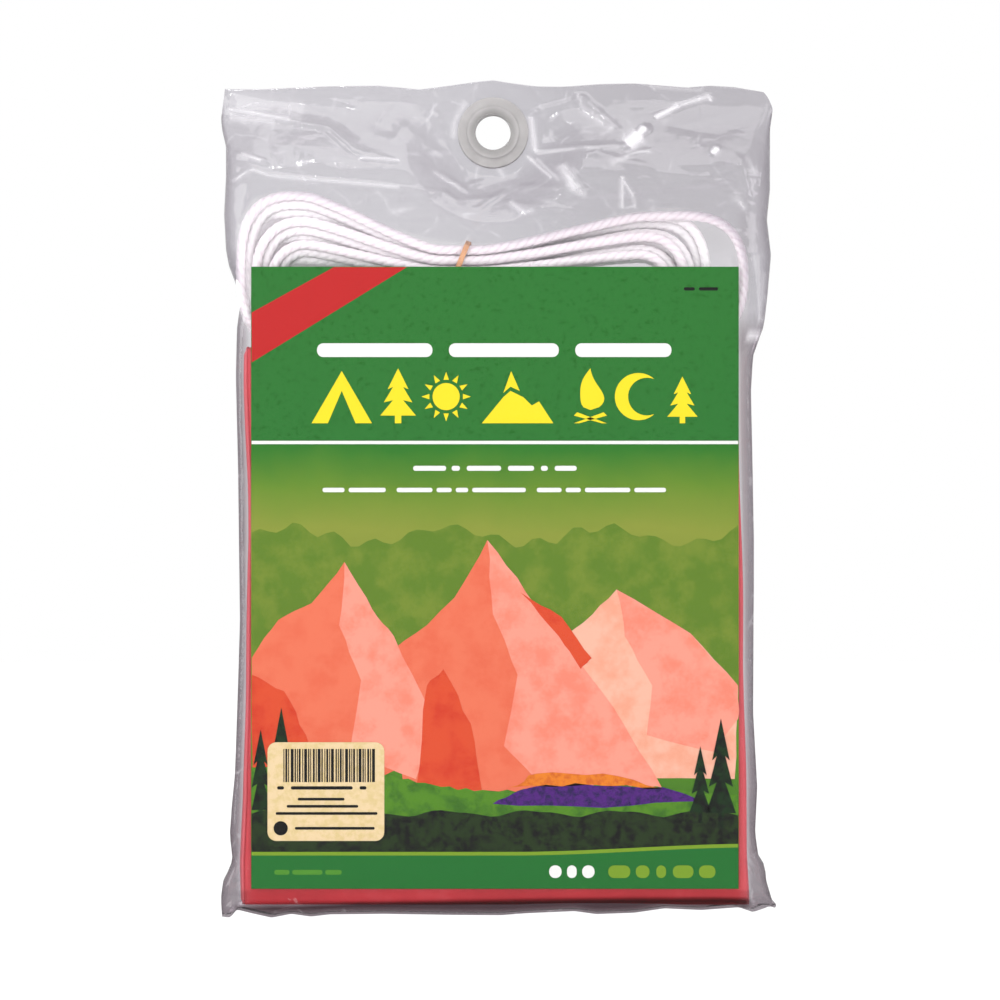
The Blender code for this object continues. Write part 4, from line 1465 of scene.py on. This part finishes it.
        # Painted light: the left of the header is drawn lighter, fading to the right and below the header.
        left_light = self.left_header_light * ease((30 - x) / 60) * ease((z + 50) / 12) if front else 0.0
        return np.minimum(total + left_light, 1.0)

    def build(self) -> None:
        """Joins the two panels along their welds and round the eyelet into one closed skin."""
        front, front_shares = self.sheet(True)
        back, back_shares = self.sheet(False)
        shape = front.shape[:2]
        front_numbers = np.arange(front.shape[0] * front.shape[1]).reshape(shape)
        back_numbers = front_numbers + front_numbers.size
        edge = np.ones(shape, dtype=bool)
        edge[1:-1, 1:-1] = False
        front[edge, 1] = 0.0
        back_numbers = np.where(edge, front_numbers, back_numbers)
        sides, middle = self.columns
        above, beside = self.rows[:2]
        hole_rows, hole_columns = slice(above, above + beside), slice(sides, sides + middle)
        keep = np.ones((shape[0] - 1, shape[1] - 1), dtype=bool)
        keep[hole_rows, hole_columns] = False
        faces = [grid_faces(front_numbers)[keep.ravel()], grid_faces(back_numbers)[keep.ravel()][:, ::-1]]
        low, high = above, above + beside
        start, end = sides, sides + middle
        loops = []
        for numbers in (front_numbers, back_numbers):
            loops.append(np.concatenate([
                numbers[low, start:end], numbers[low:high, end], numbers[high, end:start:-1],
                numbers[high:low:-1, start],
            ]))
        one, other = (np.append(loop, loop[0]) for loop in loops)
        faces.append(np.stack([one[:-1], one[1:], other[1:], other[:-1]], axis=1))
        faces = np.concatenate(faces)
        points = np.concatenate([front.reshape(-1, 3), back.reshape(-1, 3)])
        used, faces = np.unique(faces, return_inverse=True)
        item = make_object("clear_hang_bag", points[used], faces.reshape(-1, 4), ClearFilm().material())
        item.data.set_sharp_from_angle(angle=math.radians(100))
        for name, shares in front_shares.items():
            add_share(item, name, np.concatenate([shares.ravel(), back_shares[name].ravel()])[used])
        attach(item, "bag")
        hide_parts("bag_front_panel", "bag_back_panel")
        log.info("clear hang bag: %d faces", len(item.data.polygons))


@dataclass
class SnapEyelet:
    """The eyelet's two halves, turned with rounded edges. Its sizes are in mm."""

    bore: float = 6.45
    wall: float = 1.0
    rim: float = 9.8
    rim_height: float = 2.0
    flange: float = 13.0
    flange_thick: float = 1.1
    seat: float = 0.55
    lip: float = 0.65
    # Painted shade towards the bore: its reach from the axis and its fade in mm, and its strength.
    dark_reach: float = 9.0
    dark_fade: float = 2.2
    dark_share: float = 0.75
    steps: int = 112

    def arc(self, centre: tuple[float, float], radius: float, start: float,
            end: float) -> list[tuple[float, float]]:
        """Points along an arc of a section, with its angles in degrees."""
        angles = np.radians(np.linspace(start, end, 6))
        return [(centre[0] + radius * math.cos(a), centre[1] + radius * math.sin(a)) for a in angles]

    def front_profile(self) -> np.ndarray:
        """The front half's section: flange, step, raised rim, barrel and snap lip.

        Returns:
            Rows of (radius, depth) round the section.
        """
        face, rim = self.seat + self.flange_thick, self.seat + self.rim_height
        barrel = self.bore + self.wall
        hook = face + 0.3
        outline = [(barrel, -self.seat), (self.flange - 0.4, -self.seat)]
        outline += self.arc((self.flange - 0.45, -self.seat - 0.55), 0.45, 0, -90)
        outline += [(self.rim + 0.9, -face + 0.10), (self.rim + 0.2, -face)]
        outline += self.arc((self.rim - 0.75, -rim + 0.7), 0.7, 0, -90)
        outline += self.arc((self.bore + 0.6, -rim + 0.6), 0.6, -90, -180)
        outline += [(self.bore, hook + 0.4), (barrel, hook + 0.4), (barrel + self.lip, hook), (barrel, hook)]
        return np.array(outline)

    def back_profile(self) -> np.ndarray:
        """The back ring's section.

        Returns:
            Rows of (radius, depth) round it.
        """
        face = self.seat + self.flange_thick
        inner = self.bore + self.wall + 0.3
        outline = [(inner, self.seat), (self.flange - 0.4, self.seat)]
        outline += self.arc((self.flange - 0.45, face - 0.45), 0.45, 0, 90)
        outline += [(inner + 0.3, face), (inner, face - 0.3)]
        return np.array(outline)

    def build(self) -> None:
        """Builds both halves and lets them ride on the bag."""
        plastic = EyeletPlastic().material()
        for name, node, profile in (
            ("eyelet_flange", "eyelet_front", self.front_profile()),
            ("eyelet_ring", "eyelet_back", self.back_profile()),
        ):
            points, faces = turned(profile * MM, self.steps)
            item = make_object(name, points, faces, plastic)
            item.data.set_sharp_from_angle(angle=math.radians(40))
            radius = np.hypot(points[:, 0], points[:, 2]) / MM
            # Painted shade: the plastic is drawn darker towards the bore.
            add_share(item, "wall", self.dark_share * ease((self.dark_reach - radius) / self.dark_fade))
            turn_out(item)
            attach(item, "bag")
            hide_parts(node)
        log.info("snap eyelet: two halves")


class Ink(Enum):
    """The printed colours of the card, each as it is seen under the lamps and the film."""

    BANNER = "#3b823e"
    RIBBON = "#c91f24"
    WHITE = "#f6f8f4"
    YELLOW = "#fbe800"
    PANEL = "#f1d9ac"
    BLACK = "#262420"
    FOOT = "#2d7d3e"
    LEAF_RULE = "#84a838"
    DIM_RULE = "#5a9a3c"
    PEAK_LIGHT = "#fba48f"
    PEAK_MIDDLE = "#f07e60"
    PEAK_DARK = "#e3593a"
    PEAK_PALE = "#f9bfa6"
    MEADOW = "#5f9433"
    FAR_WOOD = "#6b8c36"
    PINE = "#33491f"
    GRASS = "#3c4c26"
    HEATHER = "#5d2c86"
    DAWN = "#ee8a2e"


@dataclass
class Card:
    """The printed card: a coated board with a plain banner, a ribbon, a landscape and a panel of bars.

    Its sizes are in mm. The shapes printed on it are measured from its lower left corner.
    """

    width: float = 177.5
    left: float = -88.05
    foot: float = -276.66
    face: float = -11.21
    ink_step: float = 0.03
    margin: float = 0.2
    banner_foot: float = 162.5
    blotch_mm: float = 1000 / 42
    blotch_rise_mm: float = 6.0
    fibre_mm: float = 1000 / 520
    banner_fleck: str = "#30752f"
    field_tones: tuple[tuple[float, str], ...] = (
        (0.08, "#44702a"), (0.30, "#5f9433"), (0.55, "#75a03a"), (0.70, "#8d9a44"), (0.80, "#93a046"),
        (0.90, "#6f9639"), (0.985, "#3f8537"),
    )

    def lay_ink(self, name: str, ink: Ink, shapes: list[np.ndarray], layer: int,
                grain_mm: float = 1.6, fleck: str | None = None) -> None:
        """Lays flat shapes of one ink on the card.

        Args:
            name: The piece's name.
            ink: Its colour.
            shapes: Outlines of (u, v) rows from the card's lower left corner, anticlockwise.
            layer: Its number among the layers, counted from the board.
            grain_mm: The size of the print's unevenness.
            fleck: The darker colour of that unevenness, or none for a little of the same colour.
        """
        points, faces, start = [], [], 0
        for shape in shapes:
            lift = np.full(len(shape), self.face - self.ink_step * layer)
            points.append(np.stack([self.left + shape[:, 0], lift, self.foot + shape[:, 1]], axis=1))
            faces.append(range(start, start + len(shape)))
            start += len(shape)
        finish = Plain(f"ink_{name}", ink.value, fleck or ink.value, grain_mm, 0.5, 0.01, 0.25, as_seen=True)
        points = np.concatenate(points) * MM
        item = make_object(f"print_{name}", points, faces, finish.material(), smooth=False)
        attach(item, "card")

    def ground_material(self) -> bpy.types.Material:
        """The printed ground: a green banner over a field that pales into mist and darkens to grass.

        Returns:
            The material of coated board.
        """
        material, tree = empty_material("coated_board_ground")
        place = own_place(tree)
        upwards = add_node(tree, "ShaderNodeSeparateXYZ", inputs={"Vector": place}).outputs["Z"]
        blotch = noise(tree, place, self.blotch_mm, 4.0, 0.55)
        moved = spread(tree, blotch, -self.blotch_rise_mm * MM, self.blotch_rise_mm * MM)
        top = (self.foot + self.banner_foot) * MM
        level = spread(tree, calc(tree, "ADD", upwards, moved), 0.0, 1.0, self.foot * MM, top)
        field = ramp(tree, level, [(share, unlit(code)) for share, code in self.field_tones])
        fibre = noise(tree, place, self.fibre_mm, 3.0, 0.7)
        banner = ramp(tree, fibre, [(0.33, unlit(self.banner_fleck)), (0.45, unlit(Ink.BANNER.value))])
        above = calc(tree, "GREATER_THAN", upwards, top)
        skin = add_node(tree, "ShaderNodeBsdfPrincipled", inputs={
            "Base Color": mix_colours(tree, above, field, banner), "Roughness": 0.5,
            "Specular IOR Level": 0.25,
        }).outputs[0]
        show(tree, skin)
        return material

    def bars(self, spans: list[tuple[float, float]], low: float, high: float) -> list[np.ndarray]:
        """Rounded bars between two heights, one for each (start, end)."""
        return [rounded_box(start, low, end, high, (high - low) / 2.2) for start, end in spans]

    def lay_banner(self) -> None:
        """The banner: ribbon, white bars, a row of yellow camp signs and a rule."""
        ribbon = np.array([(0.2, 191.6), (56.7, 226.3), (30.1, 226.3), (0.2, 209.8)])
        self.lay_ink("ribbon", Ink.RIBBON, [ribbon], 2)
        self.lay_ink("upper_rule", Ink.WHITE, [box(0.2, 161.9, 177.3, 163.1)], 3)
        self.lay_ink("white_bars", Ink.WHITE, self.bars([(24, 66), (72, 112), (118, 153)], 193.6, 198.6), 2)
        signs = [
            *Sign(22, 169.5, 22, 19).shelter(), *Sign(47, 169.5, 13, 20).pine(), *sun(71, 179.2, 9.0),
            *Sign(84, 169.5, 26, 19).peaks(), *Sign(117.5, 169.5, 12, 20).flame(), *moon(141, 179.2, 8.6),
            *Sign(151.5, 169.5, 11, 17).pine(),
        ]
        self.lay_ink("camp_signs", Ink.YELLOW, signs, 2)
        self.lay_ink("small_bars", Ink.WHITE, self.bars(
            [(59, 71), (73, 76), (78.5, 91), (93.5, 103), (105.5, 108), (110.5, 118.5)], 152.2, 154.0,
        ) + self.bars(
            [(26, 34), (35.5, 49), (53, 66), (67.5, 73), (74.5, 79), (80.5, 100), (104, 113), (114.5, 120),
             (121.5, 138), (139.5, 151)], 144.4, 146.0), 2)
        self.lay_ink("corner_bars", Ink.BLACK, self.bars([(157.5, 161.5), (163, 170)], 217.8, 219.0), 2)

    def lay_landscape(self) -> None:
        """The landscape: a far wood, glowing peaks with lit and shaded faces, a meadow, heather and pines."""
        u = np.linspace(self.margin, self.width - self.margin, 60)
        wood = 128 + 3.0 * np.sin(0.11 * u) + 1.6 * np.sin(0.43 * u + 1) + 1.1 * np.abs(np.sin(1.3 * u))
        self.lay_ink("far_wood", Ink.FAR_WOOD, [under(u, wood, 70.0)], 1, 9.0, "#7f963d")
        ridges = {
            Ink.PEAK_PALE: [
                [(96, 40), (176, 40), (177.3, 74), (160, 93), (150, 88), (133, 109), (121, 97), (104, 84)],
            ],
            Ink.PEAK_MIDDLE: [
                [(0.2, 34), (30, 34), (60, 46), (48, 84), (34, 119), (22, 104), (10, 98), (0.2, 84)],
                [(56, 34), (112, 34), (102, 70), (94, 96), (86, 127), (74, 106), (64, 96), (48, 84)],
            ],
            Ink.PEAK_LIGHT: [
                [(34, 119), (32, 96), (40, 76), (36, 50), (60, 40), (66, 62), (52, 92), (44, 102)],
                [(86, 127), (88, 100), (97, 78), (92, 52), (108, 36), (150, 36), (132, 66), (112, 92),
                 (100, 108)],
                [(133, 109), (136, 92), (146, 74), (144, 56), (168, 50), (177.3, 62), (177.3, 74), (160, 93)],
            ],
            Ink.PEAK_DARK: [
                [(0.2, 34), (26, 34), (20, 56), (12, 72), (0.2, 78)],
                [(60, 36), (84, 36), (80, 60), (70, 80), (64, 74)],
                [(98, 108), (112, 92), (120, 80), (124, 84), (113, 99)],
            ],
        }
        flecks = {Ink.PEAK_PALE: "#f6ad90", Ink.PEAK_MIDDLE: "#ec7457", Ink.PEAK_LIGHT: "#f79079",
                  Ink.PEAK_DARK: "#d9492c"}
        for layer, (ink, outlines) in enumerate(ridges.items(), start=2):
            shapes = [ragged(np.array(outline), 0.5, layer) for outline in outlines]
            self.lay_ink(ink.name.lower(), ink, shapes, layer, 9.0, flecks[ink])
        meadow = 44 - 8 * ease(u / 120) + 2.0 * np.sin(0.06 * u) + 0.5 * np.sin(0.9 * u)
        self.lay_ink("meadow", Ink.MEADOW, [under(u, meadow, 20.0)], 6, 5.0, "#4a7a2a")
        self.lay_ink("heather", Ink.HEATHER, [
            ragged(np.array([(88, 31), (128, 29.5), (166, 32), (150, 37), (118, 38.5), (98, 36)]), 0.7, 3),
        ], 7, 2.0, "#3f1c63")
        self.lay_ink("dawn_flowers", Ink.DAWN, [
            ragged(np.array([(94, 37), (124, 38), (150, 36.5), (128, 42), (104, 42)]), 0.6, 5),
        ], 7, 2.0, "#d96f1c")
        grass = 27 + 1.0 * np.sin(0.2 * u) + 0.9 * np.abs(np.sin(2.3 * u))
        self.lay_ink("dark_grass", Ink.GRASS, [under(u, grass, 12.0)], 8, 3.2, "#1f2c12")
        trees = []
        for place, foot, wide, tall in (
            (3.5, 24, 9, 34), (11, 22, 11, 44), (171, 22, 11, 40), (163.5, 24, 8, 28),
        ):
            trees += Sign(place - wide / 2, foot, wide, tall).pine()
        trees = [np.clip(tree, self.margin, self.width - self.margin) for tree in trees]
        self.lay_ink("pines", Ink.PINE, trees, 9, 4.0, "#1d3011")

    def lay_foot(self) -> None:
        """The foot: a rule that sweeps up at the right, a green band and plain bars."""
        u = np.linspace(self.margin, self.width - self.margin, 40)
        rise = 12.2 + 3.0 * ease((u - 95) / 90)
        self.lay_ink("foot_band", Ink.FOOT, [under(u, rise, self.margin)], 10)
        self.lay_ink("leaf_rule", Ink.LEAF_RULE, [
            np.concatenate([np.stack([u, rise], 1), np.stack([u, rise + 1.3], 1)[::-1]]),
        ], 10)
        self.lay_ink("foot_white_bars", Ink.WHITE, self.bars(
            [(108.5, 113), (115, 118.5), (120.5, 125)], 4.0, 8.6,
        ), 11)
        self.lay_ink("foot_yellow_bars", Ink.LEAF_RULE, self.bars(
            [(130, 138), (140, 145), (147.5, 151), (153.5, 161), (163, 169)], 4.0, 8.6,
        ), 11)
        self.lay_ink("foot_small_bars", Ink.DIM_RULE, self.bars(
            [(8.5, 14), (15, 26), (27, 33)], 5.2, 7.0,
        ), 11)

    def lay_panel(self) -> None:
        """The pale panel at the lower left, with a fence of plain bars and a few short lines."""
        self.lay_ink("panel", Ink.PANEL, [rounded_box(6.0, 17.5, 48.5, 53.4, 3.2)], 10, 2.5, "#e6cf97")
        fence, place = [], 11.8
        for index in range(34):
            wide = (0.35, 0.7, 0.35, 1.05, 0.5)[index % 5]
            fence.append(box(place, 38.9, place + wide, 51.0))
            place += wide + (0.35, 0.3, 0.6, 0.35)[index % 4]
        self.lay_ink("fence", Ink.BLACK, fence, 11)
        lines = self.bars([(9.5, 12), (14.5, 37), (39.5, 42)], 36.2, 37.4)
        for start, end, low in ((17, 34, 32.2), (13, 39, 29.6), (9, 46, 27.0), (16, 45, 21.6)):
            lines += self.bars([(start, end)], low, low + 1.0)
        self.lay_ink("panel_lines", Ink.BLACK, lines + [disc(10.8, 22.1, 2.6)], 11)

    def build(self) -> None:
        """Dresses the board and prints it."""
        dress("printed_card", self.ground_material())
        self.lay_banner()
        self.lay_landscape()
        self.lay_foot()
        self.lay_panel()
        log.info("printed card: board and inks")


def box(left: float, low: float, right: float, high: float) -> np.ndarray:
    """A rectangle's corners, anticlockwise."""
    return np.array([(left, low), (right, low), (right, high), (left, high)])


def rounded_box(left: float, low: float, right: float, high: float, radius: float) -> np.ndarray:
    """A rectangle whose corners are quarter circles.

    Args:
        left: Its left side.
        low: Its lower side.
        right: Its right side.
        high: Its upper side.
        radius: The corners' radius, cut down to what fits.

    Returns:
        Its outline, anticlockwise.
    """
    radius = min(radius, (right - left) / 2.01, (high - low) / 2.01)
    outline = []
    for start, x, y in ((-90, right - radius, low + radius), (0, right - radius, high - radius),
                        (90, left + radius, high - radius), (180, left + radius, low + radius)):
        angles = np.radians(start + np.linspace(0, 90, 6))
        outline.append(np.stack([x + radius * np.cos(angles), y + radius * np.sin(angles)], axis=1))
    return np.concatenate(outline)


def disc(x: float, y: float, radius: float) -> np.ndarray:
    """A circle's outline."""
    angles = np.linspace(0, 2 * np.pi, 32, endpoint=False)
    return np.stack([x + radius * np.cos(angles), y + radius * np.sin(angles)], axis=1)


def under(u: np.ndarray, line: np.ndarray, low: float) -> np.ndarray:
    """The area under a line, down to a level one."""
    return np.concatenate([[(u[0], low), (u[-1], low)], np.stack([u, line], axis=1)[::-1]])


def ragged(outline: np.ndarray, size: float, seed: int) -> np.ndarray:
    """An outline with three more points on each side, each a little off the line.

    Args:
        outline: Its (u, v) rows.
        size: How far off the new points may lie.
        seed: The seed of their draws.

    Returns:
        The rows of the new outline, none of them past the card's margin.
    """
    draw = np.random.default_rng(seed)
    after = np.roll(outline, -1, axis=0)
    rows = [outline]
    for share in (0.25, 0.5, 0.75):
        middle = outline + (after - outline) * share
        rows.append(middle + draw.uniform(-size, size, middle.shape))
    return np.clip(np.stack(rows, axis=1).reshape(-1, 2), Card.margin, None)


def sun(x: float, y: float, radius: float) -> list[np.ndarray]:
    """A sun: a disc and twelve rays.

    Args:
        x: Its middle's place across.
        y: Its middle's height.
        radius: How far its rays reach.

    Returns:
        The outlines.
    """
    shapes = [disc(x, y, 0.55 * radius)]
    for angle in np.linspace(0, 2 * np.pi, 12, endpoint=False):
        out = radius * np.array((math.cos(angle), math.sin(angle)))
        side = np.array((-out[1], out[0]))
        foot = np.array((x, y)) + 0.68 * out
        shapes.append(np.array([foot - 0.11 * side, np.array((x, y)) + out, foot + 0.11 * side]))
    return shapes


def moon(x: float, y: float, radius: float) -> list[np.ndarray]:
    """A crescent between two arcs.

    Args:
        x: The place across of the outer arc's middle.
        y: The middle's height.
        radius: The outer arc's radius.

    Returns:
        The outline, in a list.
    """
    outer, inner = np.radians(np.linspace(55, 305, 28)), np.radians(np.linspace(292, 68, 22))
    across = np.concatenate([np.cos(outer), 0.36 + 0.80 * np.cos(inner)])
    up = np.concatenate([np.sin(outer), 0.80 * np.sin(inner)])
    return [np.stack([x + radius * across, y + radius * up], axis=1)]


@dataclass(frozen=True)
class Sign:
    """A small printed sign that fills a box, given by its lower left corner and its size in mm."""

    x: float
    y: float
    wide: float
    tall: float

    def outline(self, *points: tuple[float, float]) -> np.ndarray:
        """Turns shares of the box into places: (u, v) goes to (x + u wide, y + v tall)."""
        return np.array([(self.x + u * self.wide, self.y + v * self.tall) for u, v in points])

    def shelter(self) -> list[np.ndarray]:
        """A ridge shelter seen from its open end: two leaning sides."""
        return [self.outline((0, 0), (0.27, 0), (0.5, 0.62), (0.5, 1)),
                self.outline((1, 0), (0.5, 1), (0.5, 0.62), (0.73, 0))]

    def pine(self) -> list[np.ndarray]:
        """A pine: three skirts that narrow upwards, over a trunk.

        Returns:
            Its outline, in a list.
        """
        half = [(0.59, 0), (0.59, 0.14)]
        for low, inner, wide in ((0.14, 0.42, 0.5), (0.38, 0.66, 0.40), (0.62, 1.0, 0.29)):
            half += [(0.5 + wide, low), (0.5 + 0.14 * (inner < 1), inner)]
        return [self.outline(*half, *((1 - u, v) for u, v in half[-2::-1]))]

    def peaks(self) -> list[np.ndarray]:
        """Two peaks with a snow line between their tops and their feet.

        Returns:
            The feet and the tops.
        """
        return [
            self.outline((0, 0), (1, 0), (0.80, 0.42), (0.70, 0.34), (0.58, 0.5), (0.40, 0.62), (0.30, 0.5)),
            self.outline((0.30, 0.58), (0.40, 0.70), (0.53, 0.62), (0.41, 1)),
        ]

    def flame(self) -> list[np.ndarray]:
        """A camp fire: a drop-shaped flame over two crossed logs.

        Returns:
            The three outlines.
        """
        rise = np.concatenate([np.linspace(0, 1, 16), np.linspace(1, 0, 16)[1:-1]])
        side = 0.36 * np.repeat([1.0, -1.0], [16, 14]) * np.sin(np.pi * rise ** 0.55)
        lean = 0.06 * np.sin(2 * np.pi * rise)
        return [self.outline(*zip(0.5 + side + lean, 0.24 + 0.76 * rise)),
                self.outline((0, 0), (0.16, 0), (1, 0.14), (0.9, 0.2)),
                self.outline((1, 0), (0.1, 0.2), (0, 0.14), (0.84, 0))]


def main() -> None:
    """Builds the pack in order."""
    Studio().build()
    Hank().build()
    FoldedTube().build()
    Card().build()
    dress("instruction_leaflet", Plain("uncoated_paper", "#ece9e2", "#dcd8cf", 1.4, 0.85).material())
    log.info("instruction leaflet: paper")
    SnapEyelet().build()
    HangBag().build()


if __name__ == "__main__":
    main()
